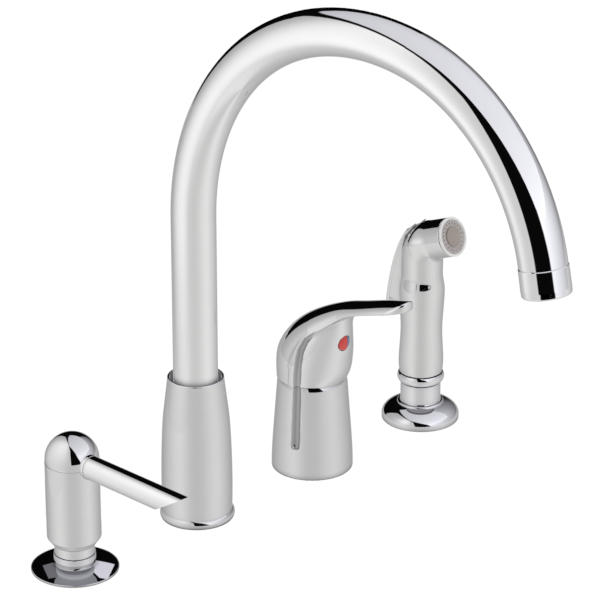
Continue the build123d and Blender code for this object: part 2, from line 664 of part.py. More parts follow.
with BuildPart() as spray_trigger:
    with BuildSketch(spray_mid):
        with BuildLine():
            outer = Spline((0.6, 141.7), (-3.0, 139.4), (-8.6, 133.9), (-15.0, 122.5), (-20.0, 108), (-23.4, 92), (-25.4, 76.6))
            foot = ThreePointArc((-25.4, 76.6), (-24.6, 74.6), (-22.9, 76.4))
            inner = Spline((-22.9, 76.4), (-20.9, 92), (-17.7, 108), (-13.2, 121.6), (-7.3, 132.8), (-2.5, 138.0), (0.6, 140.4))
            Line(inner @ 1, outer @ 0)
        make_face()
    extrude(amount=6.6, both=True)
    with BuildSketch(spray_mid):
        with BuildLine():
            Polyline((-9.2, 133.0), (-12.6, 126.6), (-9.8, 126.6), (-5.2, 128.4), (-1.2, 130.0), (-0.6, 133.2), (-3.0, 137.4), (-5.2, 136.8), (-9.2, 133.0))
        make_face()
    extrude(amount=3.1, both=True)
    with BuildSketch(Plane(origin=spray_point(PIVOT_F, PIVOT_Z, -5), x_dir=FWD, z_dir=WID)):
        Circle(1.5 + RUN)
    extrude(amount=10, mode=Mode.SUBTRACT)

with BuildPart() as trigger_pin:
    with BuildSketch(Plane(origin=spray_point(PIVOT_F, PIVOT_Z, -10.0), x_dir=FWD, z_dir=WID)):
        Circle(1.5)
    extrude(amount=20)

with BuildPart() as spray_plunger:
    with BuildSketch(Plane(origin=spray_point(-18.9, PLUNGER_Z), x_dir=WID, z_dir=FWD)):
        Circle(2.5)
    extrude(amount=20)
    with BuildSketch(Plane(origin=spray_point(-1.5, PLUNGER_Z), x_dir=WID, z_dir=FWD)):
        Circle(3.6)
    extrude(amount=2.6)

with BuildPart() as nozzle_bezel:
    with BuildSketch(face_half):
        with BuildLine():
            Polyline((11.25, -1.5), (12.95, -1.5), (13.0, -0.5))
            ThreePointArc((13.0, -0.5), (12.75, -0.1), (12.3, 0.0))
            Polyline((12.3, 0.0), (11.8, 0.0), (11.25, -0.6), (11.25, -1.5))
        make_face()
    revolve(axis=face_axis)

with BuildPart() as spray_face:
    with BuildSketch(face_plane.offset(-4.6)):
        Circle(11.15)
    extrude(amount=3.9)
    with BuildSketch(face_plane.offset(-4.6)):
        Circle(6.7)
    extrude(amount=4.6, mode=Mode.SUBTRACT)
    with BuildSketch(face_plane.offset(-5.0)):
        with PolarLocations(9.0, 20):
            Circle(0.5)
    extrude(amount=6, mode=Mode.SUBTRACT)

with BuildPart() as spray_centre:
    with BuildSketch(face_half):
        with BuildLine():
            Polyline((0, -4.6), (6.65, -4.6), (6.65, 0.1))
            ThreePointArc((6.65, 0.1), (6.45, 0.55), (6.0, 0.75))
            Polyline((6.0, 0.75), (0, 0.95), (0, -4.6))
        make_face()
    revolve(axis=face_axis)

# ================================================================ SOAP DISPENSER
NOZZLE_RISE = 1.2
with BuildPart() as soap_flange:
    with BuildSketch(half_plane(SX)):
        with BuildLine():
            Polyline(*path((9.6, -52), *thread(12.9, 0.9, 2.0, -52, -4), (12.9, -4), (12.9, 0.9), (24.4, 0.9), (24.4, 0), (26.4, 0)))
            ThreePointArc((26.4, 0), (26.7, 0.15), (26.8, 0.45))
            Line((26.8, 0.45), (26.8, 2.3))
            ThreePointArc((26.8, 2.3), (26.7, 2.6), (26.4, 2.7))
            Polyline((26.4, 2.7), (11.0, 2.7), (10.8, 2.9), (10.8, 6.6), (9.6, 6.6), (9.6, -52))
        make_face()
    revolve(axis=upright(SX))

with BuildPart() as soap_gasket:
    with BuildSketch(Plane.XY.offset(0)):
        with Locations((SX, 0)):
            Circle(24.3)
            Circle(13.1, mode=Mode.SUBTRACT)
    extrude(amount=0.88)

with BuildPart() as soap_nut:
    with BuildSketch(Plane.XY.offset(-DECK_T - 12.0)):
        with Locations((SX, 0)):
            Circle(17.0)
            Rectangle(48, 7)
    extrude(amount=10)
    with BuildSketch(Plane.XY.offset(-DECK_T - 2.0)):
        with Locations((SX, 0)):
            Circle(21.0)
    extrude(amount=2)
    with BuildSketch(half_plane(SX)):
        with BuildLine():
            Polyline(*path((0, -32.1), (12.08, -32.1), *thread(12.9 + THREAD_GAP, 0.9, 2.0, -32, -20), (12.08, -19.9), (0, -19.9), (0, -32.1)))
        make_face()
    revolve(axis=upright(SX), mode=Mode.SUBTRACT)

with BuildPart() as soap_bottle:
    with BuildSketch(half_plane(SX)):
        with BuildLine():
            Polyline((15.2, -37), (15.2, -53))
            Spline((15.2, -53), (22.0, -56.5), (30.0, -61.5), (33.0, -68.0), tangents=((0, -1), (0, -1)))
            Line((33.0, -68.0), (33.0, -172))
            ThreePointArc((33.0, -172), (31.8, -175.0), (29.0, -176))
            Polyline((29.0, -176), (0, -174.0), (0, -172.4), (29.0, -174.4))
            ThreePointArc((29.0, -174.4), (30.7, -173.7), (31.4, -172))
            Line((31.4, -172), (31.4, -68.0))
            Spline((31.4, -68.0), (28.6, -63.0), (21.0, -58.4), (13.05, -54.5), tangents=((0, 1), (-1, 0.2)))
            Polyline((13.05, -54.5), (13.05, -37), (15.2, -37))
        make_face()
    revolve(axis=upright(SX))

with BuildPart() as pump_cylinder:
    with BuildSketch(half_plane(SX)):
        with BuildLine():
            Polyline(
                (8.75, 7.6), (10.6, 7.6), (10.6, 6.65), (9.5, 6.65), (9.5, -50), (9.5, -57), (4.6, -60), (4.6, -68),
                (3.25, -68), (3.25, -61), (2.0, -59.5), (2.0, -58.6), (3.4, -56.6), (3.4, -52.5), (8.75, -52.5), (8.75, 7.6),
            )
        make_face()
    revolve(axis=upright(SX))

with BuildPart() as inlet_ball:
    with BuildSketch(half_plane(SX)):
        with BuildLine():
            ThreePointArc((0, -57.85), (2.8, -55.05), (0, -52.25))
            Line((0, -52.25), (0, -57.85))
        make_face()
    revolve(axis=upright(SX))

with BuildPart() as dip_tube:
    with BuildSketch(Plane.XY.offset(-168)):
        with Locations((SX, 0)):
            Circle(3.2)
            Circle(2.3, mode=Mode.SUBTRACT)
    extrude(amount=106.5)

with BuildPart() as pump_spring:
    with BuildLine() as coil:
        Helix(pitch=6.0, height=35.4, radius=6.4, center=(SX, 0, -51.7))
    with BuildSketch(Plane(origin=coil.line @ 0, z_dir=coil.line % 0)):
        Circle(0.65)
    sweep(path=coil.line, is_frenet=True)

with BuildPart() as pump_piston:
    with BuildSketch(half_plane(SX)):
        with BuildLine():
            Polyline(
                (3.6, -6), (7.6, -6), (8.68, -6.6), (8.68, -8.6), (7.8, -9.0), (7.8, -12.4), (8.68, -12.8), (8.68, -15),
                (4.9, -15), (4.9, -12), (3.6, -12), (3.6, -6),
            )
        make_face()
    revolve(axis=upright(SX))

with BuildPart() as pump_stem:
    with BuildSketch(half_plane(SX)):
        with BuildLine():
            Polyline((1.6, -12.0), (3.5, -12.0), (3.5, 67.5), (1.6, 67.5), (1.6, -12.0))
        make_face()
    revolve(axis=upright(SX))

with BuildPart() as pump_collar:
    with BuildSketch(half_plane(SX)):
        with BuildLine():
            Polyline((10.95, 6.7), (12.6, 6.7), (12.75, 6.9), (12.75, 10.5), (12.6, 10.65), (9.7, 10.65), (9.7, 7.7), (10.95, 7.7), (10.95, 6.7))
        make_face()
    revolve(axis=upright(SX))

with BuildPart() as pump_sleeve:
    with BuildSketch(half_plane(SX)):
        with BuildLine():
            Polyline((3.6, 12.4), (3.6, 20), (9.0, 21.5), (11.4, 27.0), (12.3, 27.0), (12.3, 11.6))
            ThreePointArc((12.3, 11.6), (12.05, 10.95), (11.4, 10.7))
            Polyline((11.4, 10.7), (9.6, 10.7), (9.6, 7.65), (8.8, 7.65), (8.8, 12.4), (3.6, 12.4))
        make_face()
    revolve(axis=upright(SX))

nozzle_tilt = math.radians(NOZZLE_RISE)
nozzle_dir = Vector(0, -math.cos(nozzle_tilt), math.sin(nozzle_tilt))
nozzle_root = Vector(SX, 0, 72.9)
nozzle_plane = Plane(origin=nozzle_root, x_dir=(1, 0, 0), z_dir=nozzle_dir)
with BuildPart() as soap_head:
    with BuildSketch(half_plane(SX)):
        with BuildLine():
            Polyline(
                (13.0, 17.3), (13.25, 17.3), (16.4, 21.8), (16.6, 22.8), (16.6, 71.45), (0, 71.45), (0, 67.6),
                (3.55, 67.6), (3.55, 62.0), (13.0, 60.0), (13.0, 17.3),
            )
        make_face()
    revolve(axis=upright(SX))
    with BuildSketch(nozzle_plane.offset(8.0)):
        Circle(7.35)
    extrude(amount=12, mode=Mode.SUBTRACT)
    with BuildSketch(nozzle_plane.offset(-3.4)):
        with Locations((0, 3.4)):
            Circle(1.6)
    extrude(amount=12, mode=Mode.SUBTRACT)
    with BuildSketch(Plane.XY.offset(66)):
        with Locations((SX, 0)):
            Circle(1.6)
    extrude(amount=5.0, mode=Mode.SUBTRACT)

with BuildPart() as soap_dome:
    with BuildSketch(half_plane(SX)):
        with BuildLine():
            Line((0, 71.55), (16.35, 71.55))
            ThreePointArc((16.35, 71.55), (14.56, 81.2), (0, 89.85))
            Line((0, 89.85), (0, 71.55))
        make_face()
    revolve(axis=upright(SX))
    with BuildSketch(nozzle_plane.offset(8.0)):
        Circle(7.35)
    extrude(amount=12, mode=Mode.SUBTRACT)

with BuildPart() as soap_nozzle:
    with BuildSketch(nozzle_plane.offset(8.05)):
        Circle(7.3)
    extrude(amount=95)
    with BuildSketch(nozzle_plane.offset(16.7)):
        Circle(7.8)
    extrude(amount=1.3)
    with BuildSketch(nozzle_plane.offset(10)):
        Circle(4.6)
    extrude(amount=95, mode=Mode.SUBTRACT)
    with BuildSketch(nozzle_plane.offset(7)):
        with Locations((0, 3.4)):
            Circle(1.6)
    extrude(amount=5, mode=Mode.SUBTRACT)
    with BuildSketch(Plane(origin=(SX, 0, 0), x_dir=(0, 1, 0), z_dir=(1, 0, 0))):
        with BuildLine():
            Polyline((-87.5 + 1.605 * 20, 74.7 - 20), (-87.5 - 1.605 * 20, 74.7 + 20), (-130, 94), (-130, 50), (-87.5 + 1.605 * 20, 74.7 - 20))
        make_face()
    extrude(amount=20, both=True, mode=Mode.SUBTRACT)

# ================================================================ export
PARTS = {
    "spout_base_ring": spout_base_ring, "spout_gasket": spout_gasket, "spout_body": spout_body, "spout_post": spout_post,
    "diverter_body": diverter_body, "diverter_piston": diverter_piston, "spout_o_rings": spout_o_rings,
    "spout_glide_ring": spout_glide_ring, "spout_hub": spout_hub, "spout_clip": spout_clip, "recess_ring": recess_ring,
    "spout_tube": spout_tube, "outlet_adapter": outlet_adapter, "aerator_housing": aerator_housing,
    "aerator_insert": aerator_insert, "deck_rubber_washers": deck_rubber_washers, "deck_steel_washers": deck_steel_washers,
    "shank_nuts": shank_nuts, "valve_skirt": valve_skirt, "valve_gasket": valve_gasket, "valve_body": valve_body,
    "inlet_tubes": inlet_tubes, "mixed_outlet_tube": mixed_outlet_tube, "cartridge_body": cartridge_body,
    "cartridge_rotor": cartridge_rotor, "handle_stem": handle_stem, "bonnet_dome": bonnet_dome,
    "handle": handle, "handle_set_screw": handle_set_screw, "index_button_red": index_button_red,
    "index_button_blue": index_button_blue, "spray_holder": spray_holder, "holder_liner": holder_liner,
    "holder_gasket": holder_gasket, "holder_nut": holder_nut, "spray_tail": spray_tail, "spray_collar": spray_collar,
    "spray_body": spray_body, "spray_trigger": spray_trigger, "trigger_pin": trigger_pin, "spray_plunger": spray_plunger,
    "nozzle_bezel": nozzle_bezel, "spray_face": spray_face, "spray_centre": spray_centre,
    "soap_flange": soap_flange, "soap_gasket": soap_gasket, "soap_nut": soap_nut, "soap_bottle": soap_bottle,
    "pump_cylinder": pump_cylinder, "inlet_ball": inlet_ball, "dip_tube": dip_tube, "pump_spring": pump_spring,
    "pump_piston": pump_piston, "pump_stem": pump_stem, "pump_collar": pump_collar, "pump_sleeve": pump_sleeve,
    "soap_head": soap_head, "soap_dome": soap_dome, "soap_nozzle": soap_nozzle,
}
for name, built in PARTS.items():
    built.part.label = name
    export_step(built.part, f"parts/{name}.step")
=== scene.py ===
import bpy
import math
import numpy as np
from mathutils import Matrix, Vector


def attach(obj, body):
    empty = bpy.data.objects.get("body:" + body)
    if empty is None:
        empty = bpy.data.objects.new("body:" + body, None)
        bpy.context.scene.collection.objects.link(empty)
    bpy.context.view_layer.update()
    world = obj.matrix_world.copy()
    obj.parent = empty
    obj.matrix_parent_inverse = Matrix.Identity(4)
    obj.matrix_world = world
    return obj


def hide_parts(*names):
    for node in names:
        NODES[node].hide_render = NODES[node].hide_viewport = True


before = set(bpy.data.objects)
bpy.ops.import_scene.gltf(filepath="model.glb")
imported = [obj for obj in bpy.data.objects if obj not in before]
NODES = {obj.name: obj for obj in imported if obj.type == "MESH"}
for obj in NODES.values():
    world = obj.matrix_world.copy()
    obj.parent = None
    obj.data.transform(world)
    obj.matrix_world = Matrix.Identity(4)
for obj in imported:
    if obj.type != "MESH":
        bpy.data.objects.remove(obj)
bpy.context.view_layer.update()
SX, PX, VX, RX = -101.6, 0.0, 101.6, 203.2           # the four stations along the hole row, mm

# ------------------------------------------------------------------ camera
FOCAL_PX = 3300.0                                    # for a picture 600 pixels wide
AZ, PITCH = math.radians(-44.809), math.radians(23.266)
DIST, LAT, VERT = 2.067068, 0.064202, 0.133751
back = Vector((math.sin(AZ) * math.cos(PITCH), -math.cos(AZ) * math.cos(PITCH), math.sin(PITCH)))
side = Vector((math.cos(AZ), math.sin(AZ), 0.0))
toward = Vector((math.sin(AZ), -math.cos(AZ), 0.0))
up = back.cross(side)
camera = bpy.data.cameras.new("camera")
camera.sensor_width = 36.0
camera.sensor_height = 36.0
camera.lens = 36.0 * FOCAL_PX / 600.0
camera.clip_start, camera.clip_end = 0.05, 100.0
camera_object = bpy.data.objects.new("camera", camera)
bpy.context.scene.collection.objects.link(camera_object)
camera_object.matrix_world = Matrix.Translation(back * DIST + side * LAT + up * VERT) @ Matrix(
    (side, up, back)).transposed().to_4x4()
bpy.context.scene.camera = camera_object

bpy.context.scene.view_settings.view_transform = "Standard"
bpy.context.scene.view_settings.look = "None"


# ------------------------------------------------------------------ shader short-hands
class Shader:
    """Adds nodes to a tree and links them."""

    def __init__(self, tree):
        self.tree = tree
        tree.nodes.clear()

    def add(self, kind, inputs=None, **values):
        n = self.tree.nodes.new(kind)
        for k, v in values.items():
            setattr(n, k, v)
        for k, v in (inputs or {}).items():
            self.put(n.inputs[k], v)
        return n

    def put(self, socket, value):
        if isinstance(value, bpy.types.NodeSocket):
            self.tree.links.new(value, socket)
        else:
            socket.default_value = value

    def math(self, op, a, b=None, c=None, clamp=False):
        n = self.add("ShaderNodeMath", operation=op, use_clamp=clamp)
        for i, v in enumerate((a, b, c)):
            if v is not None:
                self.put(n.inputs[i], v)
        return n.outputs[0]

    def step(self, value, low, high):
        n = self.add("ShaderNodeMapRange", {"Value": value, "From Min": low, "From Max": high}, interpolation_type="SMOOTHSTEP", clamp=True)
        return n.outputs["Result"]

    def range(self, value, a, b, c, d):
        n = self.add("ShaderNodeMapRange", {"Value": value, "From Min": a, "From Max": b, "To Min": c, "To Max": d}, clamp=True)
        return n.outputs["Result"]

    def scale(self, vector, s):
        return self.add("ShaderNodeVectorMath", {0: vector, 3: s}, operation="SCALE").outputs[0]

    def mix(self, fac, a, b):
        n = self.add("ShaderNodeMix", data_type="RGBA")
        self.put(n.inputs[0], fac)
        self.put(n.inputs[6], a)
        self.put(n.inputs[7], b)
        return n.outputs[2]


def new_material(name):
    m = bpy.data.materials.new(name)
    m.use_nodes = True
    s = Shader(m.node_tree)
    return m, s, s.add("ShaderNodeOutputMaterial")


# ------------------------------------------------------------------ studio
world = bpy.data.worlds.new("studio")
bpy.context.scene.world = world
world.use_nodes = True
s = Shader(world.node_tree)
plain = s.add("ShaderNodeBackground", {"Color": (1.0, 1.0, 1.0, 1.0), "Strength": 1.0})
s.put(s.add("ShaderNodeOutputWorld").inputs["Surface"], plain.outputs[0])


def stage_object(name, verts, faces, material):
    mesh = bpy.data.meshes.new(name)
    mesh.from_pydata([tuple(v) for v in verts], [], faces)
    mesh.materials.append(material)
    o = bpy.data.objects.new(name, mesh)
    bpy.context.scene.collection.objects.link(o)
    return o


# pale floor; reflected rays pass through it to the lit shell below, except past its front edge
m, s, out = new_material("floor_white")
position = s.add("ShaderNodeNewGeometry").outputs["Position"]
front = s.add("ShaderNodeVectorMath", {0: position, 1: tuple(toward)}, operation="DOT_PRODUCT").outputs["Value"]
open_part = s.math("SUBTRACT", 1.0, s.step(front, 0.82, 0.90))
seen = s.add("ShaderNodeLightPath").outputs["Is Camera Ray"]
glow = s.add("ShaderNodeEmission", {"Color": (1.0, 0.997, 0.985, 1.0), "Strength": s.math("MULTIPLY", seen, 1.02)})
clear = s.add("ShaderNodeBsdfTransparent")
s.put(out.inputs["Surface"], s.add("ShaderNodeMixShader", {0: s.math("MULTIPLY", s.math("SUBTRACT", 1.0, seen), open_part), 1: glow.outputs[0], 2: clear.outputs[0]}).outputs[0])
floor = stage_object("floor", [(-6, -6, -0.0002), (6, -6, -0.0002), (6, 6, -0.0002), (-6, 6, -0.0002)], [(0, 1, 2, 3)], m)

# far wall of light on the right, black cloth elsewhere: one shell around the object
SHELL_R = 1.5
SHELL_C = side * 0.05 + Vector((0, 0, 0.2))
m, s, out = new_material("wall_light")
place = s.add("ShaderNodeTexCoord").outputs["Object"]
xyz = s.add("ShaderNodeSeparateXYZ", {0: place})
azimuth = s.math("MULTIPLY", s.math("ARCTAN2", xyz.outputs[0], xyz.outputs[1]), 180 / math.pi)
elevation = s.math("MULTIPLY", s.math("ARCSINE", s.math("DIVIDE", xyz.outputs[2], SHELL_R)), 180 / math.pi)
start = s.math("MULTIPLY_ADD", elevation, -0.375, 33.5)
lit = s.math("MULTIPLY", s.step(s.math("SUBTRACT", azimuth, start), -2.5, 2.5), s.math("SUBTRACT", 1.0, s.step(azimuth, 156.0, 166.0)))
level = s.math("MULTIPLY_ADD", s.math("SUBTRACT", azimuth, 80.0), -0.011, 1.25)
level = s.math("MULTIPLY_ADD", s.math("SUBTRACT", elevation, 20.0), 0.008, level)
level = s.math("MAXIMUM", level, 0.15)
# below the floor: two broad lobes of light to the left and right of the camera, dimmer behind
turn = s.math("MULTIPLY_ADD", azimuth, 1 / 360, 0.5)
lobes = s.add("ShaderNodeValToRGB", {0: turn})
lobes.color_ramp.interpolation = "B_SPLINE"
LOBES = [(-180, 0.86), (-118, 0.96), (-91, 1.11), (-70, 1.27), (-51, 1.30), (-33, 1.12), (-16, 0.97), (0, 0.96), (16, 0.98), (33, 1.11),
         (51, 1.21), (70, 1.28), (91, 1.14), (118, 0.98), (180, 0.86)]
while len(lobes.color_ramp.elements) < len(LOBES):
    lobes.color_ramp.elements.new(0.5)
for e, (angle, value) in zip(lobes.color_ramp.elements, LOBES):
    e.position = angle / 360 + 0.5
    e.color = (value / 1.5, value / 1.5, value / 1.5, 1.0)
below = s.math("LESS_THAN", xyz.outputs[2], -0.2)
pattern = s.math("MULTIPLY", lobes.outputs[0], 1.5)
above = s.math("MULTIPLY_ADD", lit, level, 0.004)
strength = s.math("ADD", s.math("MULTIPLY", below, pattern), s.math("MULTIPLY", s.math("SUBTRACT", 1.0, below), above))
glow = s.add("ShaderNodeEmission", {"Color": s.mix(below, (0.98, 0.985, 1.025, 1.0), (1.0, 0.995, 0.975, 1.0)), "Strength": strength})
s.put(out.inputs["Surface"], glow.outputs[0])
verts, faces = [], []
NA, NE = 96, 48
for j in range(NE + 1):
    e = math.pi * (j / NE - 0.5)
    for i in range(NA):
        a = 2 * math.pi * i / NA
        verts.append((SHELL_R * math.cos(e) * math.sin(a), SHELL_R * math.cos(e) * math.cos(a), SHELL_R * math.sin(e)))
for j in range(NE):
    for i in range(NA):
        k = (i + 1) % NA
        faces.append((j * NA + i, j * NA + k, (j + 1) * NA + k, (j + 1) * NA + i))
shell = stage_object("wall_light", verts, faces, m)
shell.matrix_world = Matrix.Translation(SHELL_C) @ Matrix((side, toward, (0, 0, 1))).transposed().to_4x4()
shell.visible_camera = False

# a broad sheet of light overhead; its left edge lies just above the card on the left
SHEET_Z = 0.665
m, s, out = new_material("overhead_light")
xyz = s.add("ShaderNodeSeparateXYZ", {0: s.add("ShaderNodeTexCoord").outputs["Object"]})
along, ahead, _ = xyz.outputs
left = s.math("MULTIPLY_ADD", s.math("MULTIPLY", ahead, ahead), 0.208, s.math("MULTIPLY_ADD", ahead, 0.103, -0.188))
inside = s.step(s.math("SUBTRACT", along, left), -0.012, 0.012)
inside = s.math("MULTIPLY", inside, s.step(s.math("SUBTRACT", s.math("MULTIPLY_ADD", along, 1.257, 0.400), ahead), -0.012, 0.012))
inside = s.math("MULTIPLY", inside, s.step(s.math("SUBTRACT", ahead, s.math("MULTIPLY_ADD", along, 0.198, -0.579)), -0.012, 0.012))
level = s.math("MULTIPLY_ADD", along, 0.42, s.math("MULTIPLY_ADD", ahead, 0.266, 1.12))
level = s.math("MINIMUM", level, 1.7)
glow = s.add("ShaderNodeEmission", {"Color": (0.98, 0.985, 1.025, 1.0), "Strength": level})
clear = s.add("ShaderNodeBsdfTransparent")
s.put(out.inputs["Surface"], s.add("ShaderNodeMixShader", {0: inside, 1: clear.outputs[0], 2: glow.outputs[0]}).outputs[0])
sheet = stage_object("overhead_light", [(-0.4, -1.1, 0), (1.2, -1.1, 0), (1.2, 1.1, 0), (-0.4, 1.1, 0)], [(0, 1, 2, 3)], m)
sheet.matrix_world = Matrix.Translation((0, 0, SHEET_Z)) @ Matrix((side, toward, (0, 0, 1))).transposed().to_4x4()
sheet.visible_camera = False

# a tall card close by on the left, brightest at its near end
CARD_S, CARD_F, CARD_TURN, CARD_TOP, CARD_SLANT, CARD_LEN = -0.09, 0.520, 0.22, 0.583, 0.40, 0.96
m, s, out = new_material("left_card")
xyz = s.add("ShaderNodeSeparateXYZ", {0: s.add("ShaderNodeTexCoord").outputs["Object"]})
along, _, z = xyz.outputs
start = s.math("MULTIPLY_ADD", z, CARD_SLANT, -0.3 * CARD_SLANT)
soft = s.range(z, 0.08, 0.34, 0.035, 0.012)            # its near edge fades out towards the floor
inside = s.step(s.math("DIVIDE", s.math("SUBTRACT", along, start), soft), -1.0, 1.0)
inside = s.math("MULTIPLY", inside, s.math("SUBTRACT", 1.0, s.step(along, CARD_LEN - 0.02, CARD_LEN + 0.02)))
top = s.math("MULTIPLY_ADD", along, 0.06, CARD_TOP)
inside = s.math("MULTIPLY", inside, s.math("SUBTRACT", 1.0, s.step(s.math("SUBTRACT", z, top), -0.012, 0.012)))
# brightest a little in from its near edge, and above the floor
bump = s.math("EXPONENT", s.math("MULTIPLY", s.math("POWER", s.math("DIVIDE", s.math("SUBTRACT", along, 0.42), 0.17), 2.0), -1.0))
rise = s.math("MULTIPLY", s.step(z, 0.0, 0.22), s.math("SUBTRACT", 1.0, s.math("MULTIPLY", s.step(z, 0.24, 0.5), 0.35)))
level = s.math("MULTIPLY", bump, s.math("MULTIPLY_ADD", rise, 0.36, 0.33))
level = s.math("ADD", level, s.math("MULTIPLY_ADD", along, -0.30, 1.02))
glow = s.add("ShaderNodeEmission", {"Color": (1.0, 0.997, 0.985, 1.0), "Strength": s.math("MAXIMUM", level, 0.0)})
clear = s.add("ShaderNodeBsdfTransparent")
s.put(out.inputs["Surface"], s.add("ShaderNodeMixShader", {0: inside, 1: clear.outputs[0], 2: glow.outputs[0]}).outputs[0])
card = stage_object("left_card", [(-0.25, 0, 0), (1.05, 0, 0), (1.05, 0, 0.68), (-0.25, 0, 0.68)], [(0, 1, 2, 3)], m)
run = side * -math.sin(CARD_TURN) + toward * -math.cos(CARD_TURN)
across = Vector((0, 0, 1)).cross(run)
card.matrix_world = Matrix.Translation(side * CARD_S + toward * CARD_F) @ Matrix((run, across, (0, 0, 1))).transposed().to_4x4()
card.visible_camera = False


# ------------------------------------------------------------------ materials
def chrome(name, tone, tint=(0.0, 0.0, 0.01), rough=0.03, wave=0.0, local=False):
    """Plated mirror finish with a faint haze of polishing and a slight unevenness; its colour also carries painted
    shade, darker in creases and recesses.
    """
    m, s, out = new_material(name)
    obj = s.add("ShaderNodeTexCoord").outputs["Object"]
    haze = s.add("ShaderNodeTexNoise", {"Vector": obj, "Scale": 55.0, "Detail": 5.0, "Roughness": 0.6}).outputs["Fac"]
    base = s.mix(s.range(haze, 0.3, 0.7, 0.0, 1.0),
                 (tone + tint[0] - 0.006, tone + tint[1] - 0.006, tone + tint[2] - 0.006, 1.0),
                 (tone + tint[0] + 0.006, tone + tint[1] + 0.006, tone + tint[2] + 0.006, 1.0))
    closed = s.add("ShaderNodeAmbientOcclusion", {"Distance": 0.005}, samples=6, only_local=local).outputs["AO"]
    painted_groove_shade = s.add("ShaderNodeAttribute", attribute_name="painted_groove_shade").outputs["Fac"]
    unshaded = s.math("MULTIPLY", s.range(closed, 0.25, 0.92, 0.0, 1.0), s.math("SUBTRACT", 1.0, painted_groove_shade))
    base = s.mix(unshaded, (tone * 0.12, tone * 0.12, tone * 0.14, 1.0), base)                                 # painted shade: dark in the creases and recesses, from ambient occlusion and the painted groove-shade attribute
    fine = s.add("ShaderNodeTexNoise", {"Vector": obj, "Scale": 900.0, "Detail": 3.0}).outputs["Fac"]
    roughness = s.range(fine, 0.3, 0.7, rough * 0.7, rough * 1.3)
    bsdf = s.add("ShaderNodeBsdfPrincipled", {"Base Color": base, "Metallic": 1.0, "Roughness": roughness, "Specular Tint": (0.62, 0.62, 0.64, 1.0)})
    if wave:
        slow = s.add("ShaderNodeTexNoise", {"Vector": obj, "Scale": 28.0, "Detail": 1.0}).outputs["Fac"]
        bump = s.add("ShaderNodeBump", {"Strength": 1.0, "Distance": wave, "Height": slow})
        s.put(bsdf.inputs["Normal"], bump.outputs[0])
    s.put(out.inputs["Surface"], bsdf.outputs[0])
    return m


def metal(name, dark, light, rough, turned=0.0, scale=40.0):
    """Machined metal: cloudy colour, fine turning marks."""
    m, s, out = new_material(name)
    obj = s.add("ShaderNodeTexCoord").outputs["Object"]
    cloud = s.add("ShaderNodeTexNoise", {"Vector": obj, "Scale": scale, "Detail": 6.0, "Roughness": 0.65}).outputs["Fac"]
    base = s.mix(s.range(cloud, 0.3, 0.7, 0.0, 1.0), dark + (1.0,), light + (1.0,))
    spots = s.add("ShaderNodeTexNoise", {"Vector": obj, "Scale": scale * 7, "Detail": 4.0}).outputs["Fac"]
    bsdf = s.add("ShaderNodeBsdfPrincipled", {"Base Color": base, "Metallic": 1.0, "Roughness": s.range(spots, 0.3, 0.7, rough * 0.75, rough * 1.3)})
    if turned:
        bands = s.add("ShaderNodeTexWave", {"Vector": obj, "Scale": 260.0, "Distortion": 1.5, "Detail": 2.0, "Detail Scale": 4.0}, wave_type="BANDS", bands_direction="Z").outputs["Fac"]
        bump = s.add("ShaderNodeBump", {"Strength": 0.5, "Distance": turned, "Height": bands})
        s.put(bsdf.inputs["Normal"], bump.outputs[0])
    s.put(out.inputs["Surface"], bsdf.outputs[0])
    return m


def solid(name, dark, light, rough, grain=0.0, scale=60.0, coat=0.0, subsurface=0.0):
    """Rubber or plastic: slight mottling and a moulded grain."""
    m, s, out = new_material(name)
    obj = s.add("ShaderNodeTexCoord").outputs["Object"]
    cloud = s.add("ShaderNodeTexNoise", {"Vector": obj, "Scale": scale, "Detail": 5.0}).outputs["Fac"]
    base = s.mix(s.range(cloud, 0.3, 0.7, 0.0, 1.0), dark + (1.0,), light + (1.0,))
    spots = s.add("ShaderNodeTexNoise", {"Vector": obj, "Scale": scale * 12, "Detail": 3.0}).outputs["Fac"]
    bsdf = s.add("ShaderNodeBsdfPrincipled", {"Base Color": base, "Roughness": s.range(spots, 0.3, 0.7, rough * 0.85, rough * 1.15), "Coat Weight": coat, "Coat Roughness": 0.06})
    if grain:
        bump = s.add("ShaderNodeBump", {"Strength": 0.6, "Distance": grain, "Height": spots})
        s.put(bsdf.inputs["Normal"], bump.outputs[0])
    s.put(out.inputs["Surface"], bsdf.outputs[0])
    return m


# lighter and darker copies of one chrome plating, a tone from 0.50 to 0.60 and a faint blue tint on some parts: painted
# light and shade, part by part
CHROME = {
    "tube": chrome("chrome_tube", 0.60), "body": chrome("chrome_body", 0.515), "valve": chrome("chrome_valve", 0.50),
    "handle": chrome("chrome_handle", 0.54), "soap": chrome("chrome_soap", 0.52, local=True), "nozzle": chrome("chrome_nozzle", 0.60, (0.0, 0.0, 0.015)),
    "holder": chrome("chrome_holder", 0.54, (0, 0, 0.02)), "disc": chrome("chrome_disc", 0.50, (0, 0, 0.03)),
}
PLATED = chrome("plated_plastic", 0.53, (0.0, 0.0, 0.008), 0.045)
BRASS = metal("brass", (0.62, 0.45, 0.18), (0.80, 0.62, 0.30), 0.28, 0.00004)
COPPER = metal("copper", (0.62, 0.32, 0.20), (0.78, 0.45, 0.31), 0.26)
STEEL = metal("steel", (0.50, 0.50, 0.51), (0.66, 0.66, 0.67), 0.30, 0.00002)
RUBBER = solid("rubber_black", (0.012, 0.012, 0.013), (0.03, 0.03, 0.032), 0.72, 0.00006)
BLACK = solid("plastic_black", (0.015, 0.015, 0.017), (0.028, 0.028, 0.03), 0.42, 0.00003)
WHITE = solid("plastic_white", (0.78, 0.78, 0.76), (0.86, 0.86, 0.84), 0.38, 0.00003)
RIM = solid("rim_white", (0.66, 0.645, 0.63), (0.74, 0.725, 0.71), 0.32)
